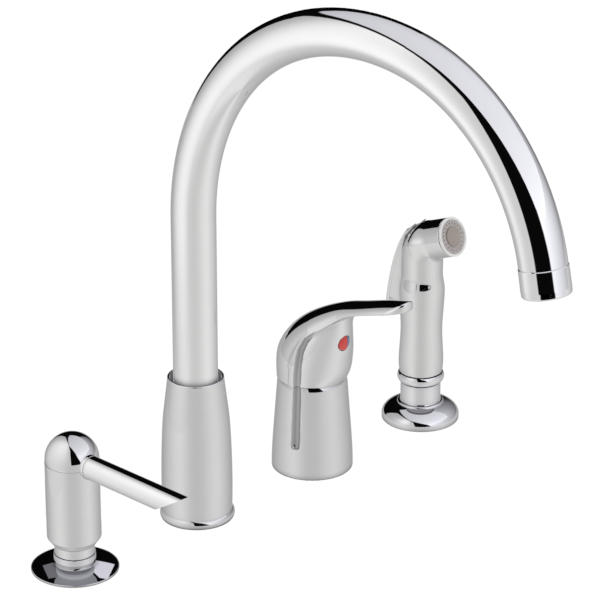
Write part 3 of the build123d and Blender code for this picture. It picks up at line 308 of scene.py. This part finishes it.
FACE = solid("face_grey", (0.34, 0.315, 0.30), (0.40, 0.375, 0.36), 0.5, 0.00001)
CENTRE = solid("centre_taupe", (0.265, 0.225, 0.20), (0.31, 0.27, 0.24), 0.55, 0.00001)
RED = solid("index_red", (0.50, 0.018, 0.010), (0.58, 0.028, 0.016), 0.35, coat=0.15)
BLUE = solid("index_blue", (0.07, 0.15, 0.27), (0.10, 0.20, 0.33), 0.35, coat=0.15)
BOTTLE = solid("bottle_plastic", (0.70, 0.71, 0.70), (0.80, 0.81, 0.80), 0.45, 0.00004)

# ------------------------------------------------------------------ smooth free-form pieces
def smooth_min(a, b, k):
    h = np.clip(0.5 + 0.5 * (b - a) / k, 0, 1)
    return b + (a - b) * h - k * h * (1 - h)


def smooth_max(a, b, k):
    return -smooth_min(-a, -b, k)


def tube_distance(p, line, radius):
    """Distance to a round bead along a polyline, each point with its own radius."""
    best = np.full(len(p), 1e9)
    line, radius = np.asarray(line, float), np.broadcast_to(radius, len(line))
    for a, b, ra, rb in zip(line, line[1:], radius, radius[1:]):
        d = b - a
        t = np.clip(((p - a) @ d) / (d @ d), 0, 1)
        best = np.minimum(best, np.linalg.norm(p - a - t[:, None] * d, axis=1) - (ra + (rb - ra) * t))
    return best


def rod_distance(p, start, end, radius):
    """Distance to a flat-ended round bar."""
    start, end = np.asarray(start, float), np.asarray(end, float)
    d = end - start
    length = np.linalg.norm(d)
    d = d / length
    t = (p - start) @ d
    r = np.linalg.norm(p - start - t[:, None] * d, axis=1) - radius
    e = np.maximum(-t, t - length)
    return np.minimum(np.maximum(r, e), 0) + np.hypot(np.maximum(r, 0), np.maximum(e, 0))


def spline(knots, values, at):
    """A smooth curve through values, flat beyond its ends."""
    x, y = np.asarray(knots, float), np.asarray(values, float)
    h, n = np.diff(x), len(x)
    A, b = np.zeros((n, n)), np.zeros(n)
    A[0, 0], A[0, 1], b[0] = 2, 1, 3 * (y[1] - y[0]) / h[0]
    A[-1, -1], A[-1, -2], b[-1] = 2, 1, 3 * (y[-1] - y[-2]) / h[-1]
    for i in range(1, n - 1):
        A[i, i - 1], A[i, i], A[i, i + 1] = h[i], 2 * (h[i - 1] + h[i]), h[i - 1]
        b[i] = 3 * (h[i] * (y[i] - y[i - 1]) / h[i - 1] + h[i - 1] * (y[i + 1] - y[i]) / h[i])
    m = np.linalg.solve(A, b)
    v = np.clip(np.asarray(at, float), x[0], x[-1])
    k = np.clip(np.searchsorted(x, v) - 1, 0, n - 2)
    t = (v - x[k]) / h[k]
    return ((1 + 2 * t) * (1 - t) ** 2 * y[k] + t * (1 - t) ** 2 * h[k] * m[k] + t * t * (3 - 2 * t) * y[k + 1] + t * t * (t - 1) * h[k] * m[k + 1])


def gradient(field, p, e=0.04):
    g = np.empty_like(p)
    for i in range(3):
        d = np.zeros(3)
        d[i] = e
        g[:, i] = (field(p + d) - field(p - d)) / (2 * e)
    return g


def skin(field, low, high, step):
    """The surface where field is zero, as quads with exact normals: one vertex in each grid cell the surface crosses."""
    low, high = np.asarray(low, float), np.asarray(high, float)
    n = np.ceil((high - low) / step).astype(int) + 1
    axes = [low[i] + step * np.arange(n[i]) for i in range(3)]
    f = np.empty(n)
    for i, x in enumerate(axes[0]):
        yy, zz = np.meshgrid(axes[1], axes[2], indexing="ij")
        f[i] = field(np.column_stack([np.full(yy.size, x), yy.ravel(), zz.ravel()])).reshape(yy.shape)
    f = np.where(np.abs(f) < 1e-7, 1e-7, f)
    inner = f < 0
    corner = [(a, b, c) for a in (0, 1) for b in (0, 1) for c in (0, 1)]
    count = sum(inner[a:n[0] - 1 + a, b:n[1] - 1 + b, c:n[2] - 1 + c].astype(int) for a, b, c in corner)
    cells = np.argwhere((count > 0) & (count < 8))
    number = -np.ones(n - 1, int)
    number[tuple(cells.T)] = np.arange(len(cells))
    total, hits = np.zeros((len(cells), 3)), np.zeros(len(cells))
    for a in corner:
        for axis in range(3):
            if a[axis]:
                continue
            b = list(a)
            b[axis] = 1
            fa = f[tuple((cells + a).T)]
            fb = f[tuple((cells + b).T)]
            cut = (fa < 0) != (fb < 0)
            t = np.where(cut, fa / np.where(cut, fa - fb, 1), 0)
            point = (cells + a).astype(float)
            point[:, axis] += t
            total += point * cut[:, None]
            hits += cut
    verts = low + step * total / hits[:, None]
    for _ in range(3):
        g = gradient(field, verts)
        move = field(verts) / np.maximum((g * g).sum(1), 0.05)
        verts -= np.clip(move, -0.5 * step, 0.5 * step)[:, None] * g
    normals = gradient(field, verts)
    normals /= np.linalg.norm(normals, axis=1)[:, None] + 1e-12
    faces = []
    for axis in range(3):
        u, v = (axis + 1) % 3, (axis + 2) % 3
        a = [slice(None)] * 3
        b = [slice(None)] * 3
        a[axis], b[axis] = slice(0, n[axis] - 1), slice(1, n[axis])
        cross = inner[tuple(a)] != inner[tuple(b)]
        at = np.argwhere(cross)
        at = at[(at[:, u] > 0) & (at[:, v] > 0) & (at[:, u] < n[u] - 1) & (at[:, v] < n[v] - 1)]
        step_u, step_v = np.zeros(3, int), np.zeros(3, int)
        step_u[u], step_v[v] = 1, 1
        quad = np.column_stack([number[tuple((at - du - dv).T)] for du, dv in ((step_u, step_v), (0 * step_u, step_v), (0 * step_u, 0 * step_v), (step_u, 0 * step_v))])
        flip = ~inner[tuple(at.T)]
        quad[flip] = quad[flip][:, ::-1]
        faces.append(quad)
    return verts, np.concatenate(faces), normals


def piece(name, verts, faces, normals, material, body, replaced, per_corner=False, painted_groove_shade=None):
    """A mesh object from points in mm, with normals of its own, that rides on a body in place of CAD nodes."""
    mesh = bpy.data.meshes.new(name)
    mesh.from_pydata((np.asarray(verts) * 0.001).tolist(), [], [list(f) for f in faces])
    mesh.polygons.foreach_set("use_smooth", np.ones(len(mesh.polygons), bool))
    mesh.update()
    if per_corner:
        mesh.normals_split_custom_set([tuple(v) for v in normals])
    else:
        mesh.normals_split_custom_set_from_vertices([tuple(v) for v in normals])
    mesh.materials.append(material)
    # painted shade for grooves, kept as a point attribute that the material reads
    if painted_groove_shade is not None:
        mesh.attributes.new("painted_groove_shade", "FLOAT", "POINT").data.foreach_set("value", np.asarray(painted_groove_shade, float))
    o = bpy.data.objects.new(name, mesh)
    bpy.context.scene.collection.objects.link(o)
    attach(o, body)
    if replaced:
        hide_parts(*replaced)
    return o


def lathe(cx, runs, around=160):
    """A turned piece on the vertical line (cx, 0) from smooth runs of (radius, height), each joined to the next; normals per face corner."""
    rings, slope, owner = [], [], []
    for n, run in enumerate(runs):
        run = np.asarray(run, float)
        d = np.gradient(run, axis=0)
        d /= np.linalg.norm(d, axis=1)[:, None] + 1e-12
        if n:
            assert np.allclose(rings[-1], run[0], atol=1e-6)
            owner[-1] = (owner[-1][0], len(slope))
            slope.append(d[0])
            run, d = run[1:], d[1:]
        for point, t in zip(run, d):
            rings.append(point)
            owner.append((len(slope), len(slope)))
            slope.append(t)
    if np.allclose(rings[0], rings[-1]):
        rings.pop()
        last = owner.pop()
        owner[0] = (last[0], owner[0][1])
    m, angle = len(rings), np.linspace(0, 2 * np.pi, around, endpoint=False)
    ca, sa = np.cos(angle), np.sin(angle)
    verts = [(cx + r * c, r * q, z) for r, z in rings for c, q in zip(ca, sa)]
    faces, normals = [], []
    for i in range(m):
        j = (i + 1) % m
        ti, tj = slope[owner[i][1]], slope[owner[j][0]]
        for k in range(around):
            l = (k + 1) % around
            faces.append((i * around + k, i * around + l, j * around + l, j * around + k))
            for t, q in ((ti, k), (ti, l), (tj, l), (tj, k)):
                normals.append((t[1] * ca[q], t[1] * sa[q], -t[0]))
    return verts, faces, normals


def arc(cr, cz, r, start, end, n=8):
    """Points of a quarter round, angles in degrees."""
    a = np.radians(np.linspace(start, end, n))
    return np.column_stack([cr + r * np.cos(a), cz + r * np.sin(a)])


# ------------------------------------------------------------------ handle
CROWN = np.array([
    # y, z, half width, depth of the arch below the crown, height of its round top
    (22.40, 56.00, 22.50, 31.0, 22.4), (22.70, 63.20, 22.90, 31.2, 22.6), (23.30, 73.00, 22.60, 32.0, 22.6), (22.00, 83.20, 21.60, 31.4, 21.4), (16.80, 92.60, 19.90, 28.6, 18.6),
    (7.69, 102.21, 17.90, 23.8, 15.2), (-6.08, 111.66, 15.45, 16.6, 11.8), (-22.79, 119.95, 13.00, 11.4, 9.2), (-31.5, 123.4, 12.2, 8.9, 8.0),
    (-41.38, 126.51, 11.60, 7.1, 7.0), (-60.95, 132.80, 10.69, 6.60, 6.55), (-81.42, 138.38, 9.30, 6.40, 6.4), (-92.00, 141.00, 8.6, 6.2, 6.2)])
HUB = np.array([
    # z, half width, half length, forward shift
    (56.0, 21.4, 21.2, 0.0), (60.0, 22.2, 22.0, 0.0), (63.2, 22.7, 22.4, 0.0), (66.0, 23.1, 23.0, 0.7), (70.0, 23.3, 23.3, 2.1), (78.0, 22.8, 23.3, 3.9),
    (86.0, 21.6, 22.9, 5.5), (93.0, 19.9, 22.0, 7.0), (100.0, 17.4, 20.4, 9.5), (107.0, 14.6, 18.1, 13.1), (113.0, 12.2, 15.7, 18.3), (119.0, 10.3, 14.0, 24.0)])
run_along = np.r_[0, np.cumsum(np.hypot(*np.diff(CROWN[:, :2], axis=0).T))]
crown_t = np.linspace(0, run_along[-1], 700)
crown_y, crown_z = spline(run_along, CROWN[:, 0], crown_t), spline(run_along, CROWN[:, 1], crown_t)
crown_w, crown_d, crown_h = (spline(run_along, CROWN[:, k], crown_t) for k in (2, 3, 4))
order = np.argsort(crown_z)
tangent = np.column_stack([np.gradient(crown_y), np.gradient(crown_z)])
tangent /= np.linalg.norm(tangent, axis=1)[:, None]
HANDLE_GROOVE = [(22.9, -8.5, 54), (23.1, -8.6, 60), (23.4, -8.7, 64), (23.3, -9.1, 72.7), (22.3, -9.2, 80.9), (20.6, -9.9, 89), (18.9, -12.6, 96.2), (17.2, -18.5, 102.0), (15.9, -24.5, 106.6)]
HANDLE_GROOVE_R = [2.9, 2.9, 2.9, 2.8, 2.6, 2.3, 1.8, 1.2, 0.6]
stem_lean = math.radians(10.0)
STEM = np.array([0, -math.sin(stem_lean), math.cos(stem_lean)])


def handle_field(p):
    x, y, z = p[:, 0] - VX, p[:, 1], p[:, 2]
    # place along the crown line, and depth below it
    near = np.empty(len(p), int)
    for i in range(0, len(p), 20000):
        yy, zz = y[i:i + 20000, None], z[i:i + 20000, None]
        k = ((yy - crown_y[::12]) ** 2 + (zz - crown_z[::12]) ** 2).argmin(1) * 12
        k = np.clip(k[:, None] + np.arange(-12, 13), 0, len(crown_t) - 1)
        near[i:i + 20000] = k[np.arange(len(k)), ((yy - crown_y[k]) ** 2 + (zz - crown_z[k]) ** 2).argmin(1)]
    t = crown_t[near]
    for _ in range(2):
        cy, cz = np.interp(t, crown_t, crown_y), np.interp(t, crown_t, crown_z)
        ty, tz = np.interp(t, crown_t, tangent[:, 0]), np.interp(t, crown_t, tangent[:, 1])
        slide = (y - cy) * ty + (z - cz) * tz
        t = np.clip(t + slide * 0.9, 0, crown_t[-1])
    below = (z - cz) * ty - (y - cy) * tz
    w, d, h = (np.interp(t, crown_t, v) for v in (crown_w, crown_d, crown_h))
    by_height = np.interp(z, crown_z[order], crown_w[order])
    blend = np.clip((t - 70.0) / 25.0, 0, 1)
    w = w * blend + by_height * (1 - blend)
    over = np.maximum(h - below, 0)
    q = np.sqrt((x / w) ** 2 + (over / h) ** 2)
    size = np.hypot(x / w ** 2, over / h ** 2)
    arch = (q - 1) * q / np.maximum(size, 0.02)
    arch = np.clip(arch, -6, 30)
    band = smooth_max(arch, below - d, 0.9)
    # rounded free end, seen from above
    reach = np.minimum(np.abs(x) / 8.6, 1.4)
    band = smooth_max(band, (6.2 * reach ** 2.6 - 83.7 - y) / np.hypot(1, 1.87 * reach ** 1.6), 1.4)
    # hub
    a, b, c = (spline(HUB[:, 0], HUB[:, k], z) for k in (1, 2, 3))
    q = np.sqrt((x / a) ** 2 + ((y + c) / b) ** 2)
    size = np.hypot(x / a ** 2, (y + c) / b ** 2)
    hub = np.clip((q - 1) * q / np.maximum(size, 0.02), -6, 30)
    hub = smooth_max(hub, 0.8 * d - below, 1.0)                    # reaches up into the arch
    whole = smooth_min(band, hub, 1.6)
    side_p = np.column_stack([np.abs(x), y, z])
    whole = smooth_max(whole, -tube_distance(side_p, HANDLE_GROOVE, HANDLE_GROOVE_R), 0.7)
    whole = smooth_max(whole, -(np.sqrt(x * x + y * y + (z - 46.0) ** 2) - 28.15), 0.9)
    local = np.column_stack([x, y, z])
    whole = np.maximum(whole, -rod_distance(local, np.array([0, 0, 46]) + STEM * 15, np.array([0, 0, 46]) + STEM * 54.4, 4.1))
    whole = smooth_max(whole, -rod_distance(local, (0, -40, 94), (0, -26, 94), 4.95), 0.8)
    whole = np.maximum(whole, -rod_distance(local, (0, -30, 94), (0, -10, 94), 2.65))
    return whole


def groove_shade(p, line, radius):
    """Painted shade down in a groove: how dark the plating looks there, as a grey cast in its colour."""
    local = np.column_stack([np.abs(p[:, 0] - VX), p[:, 1], p[:, 2]])
    depth = -tube_distance(local, line, np.asarray(radius) + 0.25)
    inside = np.clip(depth / 0.25, 0, 1)
    return 0.45 * inside


verts, faces, normals = skin(handle_field, (VX - 26, -90, 58), (VX + 26, 28, 146), 0.8)
# the handle's groove gets painted shade in the plating's colour
handle_shell = piece("handle_shell", verts, faces, normals, CHROME["handle"], "handle", ["handle"], painted_groove_shade=groove_shade(verts, HANDLE_GROOVE, HANDLE_GROOVE_R))

# ------------------------------------------------------------------ valve skirt
SKIRT = np.array([(-2.0, 26.25), (0.0, 26.25), (2.0, 26.25), (16.0, 25.75), (30.0, 24.78), (46.0, 23.58), (58.0, 22.68), (64.0, 22.23), (70.0, 21.8)])
groove_turn = math.radians(70.5)
GROOVE_FOOT = (26.0 * math.sin(groove_turn), -26.0 * math.cos(groove_turn), 23.6)
GROOVE_HEAD = (23.0 * math.sin(groove_turn), -23.0 * math.cos(groove_turn), 72.0)


def skirt_field(p):
    x, y, z = p[:, 0] - VX, p[:, 1], p[:, 2]
    r = np.hypot(x, y)
    ball = np.hypot(r, np.maximum(z - 46.0, 0)) - 27.75
    outer = (r - spline(SKIRT[:, 0], SKIRT[:, 1], z)) * 0.998
    whole = smooth_max(outer, ball, 1.7)
    whole = smooth_max(whole, 0.06 - z, 0.8)
    whole = np.maximum(whole, 18.0 - r)
    side_p = np.column_stack([np.abs(x), y, z])
    return smooth_max(whole, -tube_distance(side_p, [GROOVE_FOOT, GROOVE_HEAD], [3.1, 2.95]), 0.5)


verts, faces, normals = skin(skirt_field, (VX - 28, -28, -1), (VX + 28, 28, 70), 0.8)
# the skirt's groove gets painted shade in the plating's colour
skirt_shell = piece("skirt_shell", verts, faces, normals, CHROME["valve"], "deck_set", ["valve_skirt"], painted_groove_shade=groove_shade(verts, [GROOVE_FOOT, GROOVE_HEAD], [3.1, 2.95]))

# ------------------------------------------------------------------ index button: red on two thirds, blue on the rest
def button_field(p, blue):
    x, y, z = p[:, 0] - VX, p[:, 1], p[:, 2] - 94.0
    r = np.hypot(x, z)
    disc = smooth_max(r - 4.8, np.maximum(-29.6 + 0.95 * (r / 4.8) ** 2 - y, y + 26.1), 0.3)
    return np.maximum(disc, 2.03 - x if blue else x - 1.97)


for name, blue in (("button_red", False), ("button_blue", True)):
    verts, faces, normals = skin(lambda p: button_field(p, blue), (VX - 5.6, -30.6, 88.4), (VX + 5.6, -25.2, 99.6), 0.3)
    piece(name, verts, faces, normals, BLUE if blue else RED, "handle", ["index_" + name])

# ------------------------------------------------------------------ sprayer body and trigger
yaw = math.radians(5.5)
FWD = np.array([math.sin(yaw), -math.cos(yaw), 0.0])
WID = np.array([math.cos(yaw), math.sin(yaw), 0.0])
WAIST = np.array([(30.0, 13.6), (33.6, 14.1), (37.0, 14.55), (47.0, 14.6), (57.0, 14.0), (65.5, 13.75), (76.0, 14.25), (88.0, 14.9), (92.5, 14.95),
                  (96.0, 14.6), (99.0, 14.08), (102.0, 13.62), (106.0, 13.5), (114.0, 13.6), (130.0, 13.6)])
NECK = np.array([
    # forward, up, radius, lean
    (0.0, 60.0, 13.75, 0.0), (0.0, 100.0, 13.75, 0.0), (0.3, 113.0, 13.65, 8.0), (2.2, 120.0, 13.6, 22.0), (6.8, 127.2, 13.6, 42.0), (14.0, 132.6, 13.3, 58.0),
    (23.5, 134.8, 12.95, 69.0), (32.8, 138.4, 12.95, 69.0)])
tilt = math.radians(69.0)
BARREL = np.array([math.sin(tilt), 0.0, math.cos(tilt)])                # forward, sideways, up
FACE_AT = np.array([25.0, 0.0, 135.4])
lean = np.radians(NECK[:, 3])
fat_line = np.column_stack([NECK[:, 0] + 5.0 * np.cos(lean), 0 * lean, NECK[:, 1] - 5.0 * np.sin(lean)])
steps = np.linspace(0, len(NECK) - 1, 40)
fat_line = np.column_stack([spline(range(len(NECK)), fat_line[:, k], steps) for k in range(3)])
fat_radius = spline(range(len(NECK)), NECK[:, 2] + 5.0, steps)


def spray_axes(p):
    q = p - np.array([RX, 0.0, 0.0])
    return np.column_stack([q @ FWD, q @ WID, q[:, 2]])


def spray_field(p):
    q = spray_axes(p)
    f, w, z = q.T
    r = np.hypot(f, w)
    post = (r - spline(WAIST[:, 0], WAIST[:, 1], z)) * 0.985
    post = smooth_max(post, z - 131.0, 4.0)
    barrel = rod_distance(q, FACE_AT - 26.0 * BARREL, FACE_AT - 1.9 * BARREL, 12.86)
    elbow = np.linalg.norm(q - np.array([0.9, 0, 125.6]), axis=1) - 13.6
    whole = smooth_min(smooth_min(post, elbow, 3.0), barrel, 3.2)
    outer = tube_distance(q, fat_line, fat_radius)
    whole = smooth_max(whole, np.where(z > 96, outer, -3.0), 1.0)
    whole = smooth_max(whole, 33.62 - z, 0.8)
    flat = (q - FACE_AT) @ BARREL + 1.85
    whole = smooth_max(whole, flat, 0.8)
    recess = np.maximum(np.maximum(f + 8.4, np.abs(w) - 6.95), np.maximum(74.5 - z, z - 129.5))      # the trigger swings into it
    whole = smooth_max(whole, -recess, 0.3)
    return smooth_max(whole, -rod_distance(q, FACE_AT - 6.2 * BARREL, FACE_AT + 5.0 * BARREL, 11.3), 0.6)


verts, faces, normals = skin(spray_field, (RX - 17, -42, 32), (RX + 21, 17, 152), 0.75)
spray_shell = piece("spray_shell", verts, faces, normals, PLATED, "sprayer", ["spray_body"])

OUTER = np.array([(0.6, 141.7), (-3.0, 139.4), (-8.6, 133.9), (-15.0, 122.5), (-20.0, 108), (-23.4, 92), (-25.4, 76.6)])
INNER = np.array([(-22.9, 76.4), (-20.9, 92), (-17.7, 108), (-13.2, 121.6), (-7.3, 132.8), (-2.5, 138.0), (0.6, 140.4)])
ticks = np.linspace(0, 6, 31)
outline = np.vstack([np.column_stack([spline(range(7), c[:, k], ticks) for k in (0, 1)]) for c in (OUTER, INNER)])
back_edge = np.column_stack([spline(range(7), (OUTER + INNER[::-1])[:, k] / 2, ticks[3:29]) for k in (0, 1)])
CHEEK = np.vstack([back_edge, [(-13.9, 80.5), (-12.6, 84.0), (-12.2, 96.0), (-12.2, 112.0), (-11.6, 122.0), (-9.6, 129.0)]])
RIB = np.array([(-9.2, 133.0), (-12.6, 126.6), (-9.8, 126.6), (-5.2, 128.4), (-1.2, 130.0), (-0.6, 132.8), (-3.0, 134.0), (-6.2, 134.0)])


def outline_distance(p, ring):
    """Distance to a closed outline in its plane, negative inside."""
    best, odd = np.full(len(p), 1e9), np.zeros(len(p), bool)
    for a, b in zip(ring, np.roll(ring, -1, 0)):
        d = b - a
        if d @ d < 1e-9:
            continue
        t = np.clip(((p - a) @ d) / (d @ d), 0, 1)
        best = np.minimum(best, np.linalg.norm(p - a - t[:, None] * d, axis=1))
        if a[1] != b[1]:
            odd ^= ((a[1] > p[:, 1]) != (b[1] > p[:, 1])) & (p[:, 0] < d[0] * (p[:, 1] - a[1]) / (b[1] - a[1]) + a[0])
    return np.where(odd, -best, best)


def trigger_field(p):
    q = spray_axes(p)
    plan, w = q[:, [0, 2]], np.abs(q[:, 1])
    blade = smooth_max(smooth_max(outline_distance(plan, outline), w - 6.6, 0.5), q[:, 0] + 7.9, 0.5)
    rib = np.maximum(outline_distance(plan, RIB), w - 3.1)
    cheek = smooth_max(smooth_max(outline_distance(plan, CHEEK), w - 6.3, 0.4), 4.3 - w, 0.3)
    whole = np.minimum(np.minimum(blade, rib), cheek)
    return np.maximum(whole, 1.55 - np.hypot(q[:, 0] + 2.8, q[:, 2] - 131.6))


verts, faces, normals = skin(trigger_field, (RX - 12, -7, 72), (RX + 8, 29, 145), 0.5)
trigger_shell = piece("trigger_shell", verts, faces, normals, PLATED, "trigger", ["spray_trigger"])

# ------------------------------------------------------------------ soap dispenser's deck disc, slightly crowned
crown_r = np.linspace(26.3, 12.6, 24)
crown_z = 3.05 - 0.0034 * (crown_r ** 2 - 12.6 ** 2)
verts, faces, normals = lathe(SX, [
    arc(26.45, 0.35, 0.35, -90, 0, 5), [(26.8, 0.35), (26.8, 1.1)], np.vstack([[(26.8, 1.1)], arc(26.4, 1.1, 0.4, 8, 72, 5), [(26.3, crown_z[0])]]),
    np.column_stack([crown_r, crown_z]), np.vstack([[(12.6, 3.05)], arc(12.6, 4.85, 1.8, 262, 185, 8), [(10.8, 5.2)]]), [(10.8, 5.2), (10.8, 6.6)],
    [(10.8, 6.6), (9.6, 6.6)], [(9.6, 6.6), (9.6, -52.0)], [(9.6, -52.0), (12.4, -52.0)], [(12.4, -52.0), (12.9, -51.4)], [(12.9, -51.4), (12.9, 0.92)], [(12.9, 0.92), (24.4, 0.92)],
    [(24.4, 0.92), (24.4, 0.0)], [(24.4, 0.0), (26.45, 0.0)]])
disc_shell = piece("disc_shell", verts, faces, normals, CHROME["disc"], "deck_set", ["soap_flange"], per_corner=True)

# closes the hairline gap under the soap dispenser's dome, as the plated seam looks from outside
verts, faces, normals = lathe(SX, [[(16.6, 71.458), (16.6, 71.542)], [(16.6, 71.542), (15.8, 71.542)], [(15.8, 71.542), (15.8, 71.458)], [(15.8, 71.458), (16.6, 71.458)]])
seam_ring = piece("seam_ring", verts, faces, normals, CHROME["soap"], "soap_head", [], per_corner=True)

# painted reflection and shade: what the disc, neck and sleeve show of each other, as a glowing stand-in that only
# reflected rays shorter than 30 mm meet
def echo(name, cx, profile, shades):
    m, s, out = new_material(name)
    z = s.add("ShaderNodeSeparateXYZ", {0: s.add("ShaderNodeNewGeometry").outputs["Position"]}).outputs[2]
    ramp = s.add("ShaderNodeValToRGB", {0: s.range(z, 0.0, 0.04, 0.0, 1.0)})
    while len(ramp.color_ramp.elements) < len(shades):
        ramp.color_ramp.elements.new(0.5)
    for e, (height, value) in zip(ramp.color_ramp.elements, shades):
        e.position = height / 40
        e.color = (value, value, value * 1.06, 1.0)
    glow = s.add("ShaderNodeEmission", {"Color": ramp.outputs[0], "Strength": 1.0})
    short = s.math("LESS_THAN", s.add("ShaderNodeLightPath").outputs["Ray Length"], 0.030)
    s.put(out.inputs["Surface"], s.add("ShaderNodeMixShader", {0: short, 1: s.add("ShaderNodeBsdfTransparent").outputs[0], 2: glow.outputs[0]}).outputs[0])
    verts, faces = [], []
    for r, z in profile:
        verts += [((cx + r * math.cos(a)) * 0.001, r * math.sin(a) * 0.001, z * 0.001) for a in np.linspace(0, 2 * np.pi, 64, endpoint=False)]
    for i in range(len(profile) - 1):
        faces += [(i * 64 + k, i * 64 + (k + 1) % 64, (i + 1) * 64 + (k + 1) % 64, (i + 1) * 64 + k) for k in range(64)]
    o = stage_object(name, verts, faces, m)
    for ray in ("camera", "diffuse", "transmission", "volume_scatter", "shadow"):
        setattr(o, "visible_" + ray, False)


echo("echo_soap", SX, [(10.4, 2.2), (10.4, 6.9), (12.4, 7.0), (12.4, 10.4), (12.0, 11.0), (12.0, 17.5), (16.2, 22.4), (16.2, 38.0)],
     [(0.0, 0.05), (2.4, 0.06), (2.8, 0.55), (6.6, 0.30), (7.2, 0.75), (10.5, 0.60), (11.2, 0.40), (12.2, 0.46), (22.0, 0.40), (24.0, 0.48)])
echo("echo_sprayer", RX, [(12.9, 12.0), (12.9, 26.0), (14.0, 27.8), (15.0, 30.5), (14.0, 33.2)],
     [(0.0, 0.25), (7.0, 0.06), (12.5, 0.10), (14.0, 0.42), (25.0, 0.42), (26.5, 0.05), (28.5, 0.35), (33.0, 0.5)])

# painted reflection: the light patch that the disc shows at its front right, from a glowing upright sheet behind it
# that only short reflected rays meet
look_dir = np.array(bpy.context.scene.camera.matrix_world.to_3x3() @ Vector((0, 0, -1)))
ahead = np.array([look_dir[0], look_dir[1], 0.0]) / math.hypot(look_dir[0], look_dir[1])
rise_rate = -look_dir[2] / math.hypot(look_dir[0], look_dir[1])
right = np.array([ahead[1], -ahead[0], 0.0])
at = np.array([SX * 0.001, 0, 0]) + 0.030 * ahead
m, s, out = new_material("echo_disc")
spot = s.add("ShaderNodeSeparateXYZ", {0: s.add("ShaderNodeNewGeometry").outputs["Position"]}).outputs
x_off, y_off = s.math("SUBTRACT", spot[0], SX * 0.001), spot[1]
side = s.math("ADD", s.math("MULTIPLY", x_off, float(right[0])), s.math("MULTIPLY", y_off, float(right[1])))
deep = s.math("SUBTRACT", 0.030, s.math("DIVIDE", s.math("SUBTRACT", spot[2], 0.0025), float(rise_rate)))
lit = s.math("MULTIPLY", s.step(s.math("SUBTRACT", s.math("MULTIPLY", side, -0.10), deep), -0.0015, 0.0015),
             s.step(s.math("ADD", side, s.math("MULTIPLY", deep, 0.30)), -0.001, 0.001))
small = s.math("MULTIPLY", s.step(s.math("MULTIPLY", side, -1.0), 0.0135, 0.0155), s.step(s.math("ADD", s.math("MULTIPLY", deep, -1.0), s.math("MULTIPLY", side, 0.35)), -0.002, 0.000))
glow = s.add("ShaderNodeEmission", {"Color": (1.0, 0.985, 1.03, 1.0), "Strength": s.math("ADD", s.math("MULTIPLY", lit, 1.30), s.math("MULTIPLY", small, 0.30))})
short = s.math("LESS_THAN", s.add("ShaderNodeLightPath").outputs["Ray Length"], 0.072)
front = s.math("SUBTRACT", 1.0, s.add("ShaderNodeNewGeometry").outputs["Backfacing"])
short = s.math("MULTIPLY", s.math("MULTIPLY", short, front), s.math("MAXIMUM", lit, small))
s.put(out.inputs["Surface"], s.add("ShaderNodeMixShader", {0: short, 1: s.add("ShaderNodeBsdfTransparent").outputs[0], 2: glow.outputs[0]}).outputs[0])
corners = [at + u * 0.027 * right + np.array([0, 0, h]) for u, h in ((-1, 0.003), (1, 0.003), (1, 0.043), (-1, 0.043))]
echo_sheet = stage_object("echo_disc", [tuple(c) for c in corners], [(0, 1, 2, 3)], m)
for ray in ("camera", "diffuse", "transmission", "volume_scatter", "shadow"):
    setattr(echo_sheet, "visible_" + ray, False)

LOOK = {
    "spout_base_ring": CHROME["body"], "spout_body": CHROME["body"], "spout_tube": CHROME["tube"], "aerator_housing": CHROME["tube"],
    "valve_skirt": CHROME["valve"], "bonnet_dome": CHROME["valve"], "handle": CHROME["handle"],
    "spray_holder": CHROME["holder"], "spray_collar": CHROME["holder"], "spray_body": PLATED, "spray_trigger": PLATED,
    "soap_flange": CHROME["disc"], "pump_collar": CHROME["disc"], "pump_sleeve": CHROME["soap"], "soap_head": CHROME["soap"],
    "soap_dome": CHROME["soap"], "soap_nozzle": CHROME["nozzle"],
    "spout_gasket": RUBBER, "spout_o_rings": RUBBER, "deck_rubber_washers": RUBBER, "valve_gasket": RUBBER, "holder_gasket": RUBBER, "soap_gasket": RUBBER,
    "spout_post": BRASS, "diverter_body": BRASS, "diverter_piston": WHITE, "spout_glide_ring": WHITE, "spout_hub": BRASS, "spout_clip": STEEL,
    "recess_ring": BLACK, "outlet_adapter": BRASS, "aerator_insert": WHITE, "deck_steel_washers": STEEL, "shank_nuts": BRASS,
    "valve_body": BRASS, "inlet_tubes": COPPER, "mixed_outlet_tube": COPPER, "cartridge_body": BLACK, "cartridge_rotor": WHITE, "handle_stem": STEEL,
    "handle_set_screw": STEEL, "index_button_red": RED, "index_button_blue": BLUE, "holder_liner": BLACK, "holder_nut": BRASS,
    "spray_tail": BRASS, "trigger_pin": STEEL, "spray_plunger": WHITE, "nozzle_bezel": RIM, "spray_face": FACE, "spray_centre": CENTRE,
    "soap_nut": BLACK, "soap_bottle": BOTTLE, "pump_cylinder": WHITE, "inlet_ball": STEEL, "dip_tube": BOTTLE, "pump_spring": STEEL,
    "pump_piston": WHITE, "pump_stem": WHITE,
}
for name, o in NODES.items():
    o.data.materials.clear()
    o.data.materials.append(LOOK.get(name, STEEL))

# the pieces stood apart when they were lit, so one doesn't show in another's reflections
for o in (*NODES.values(), handle_shell, skirt_shell, spray_shell, trigger_shell, disc_shell, seam_ring):
    o.visible_glossy = False
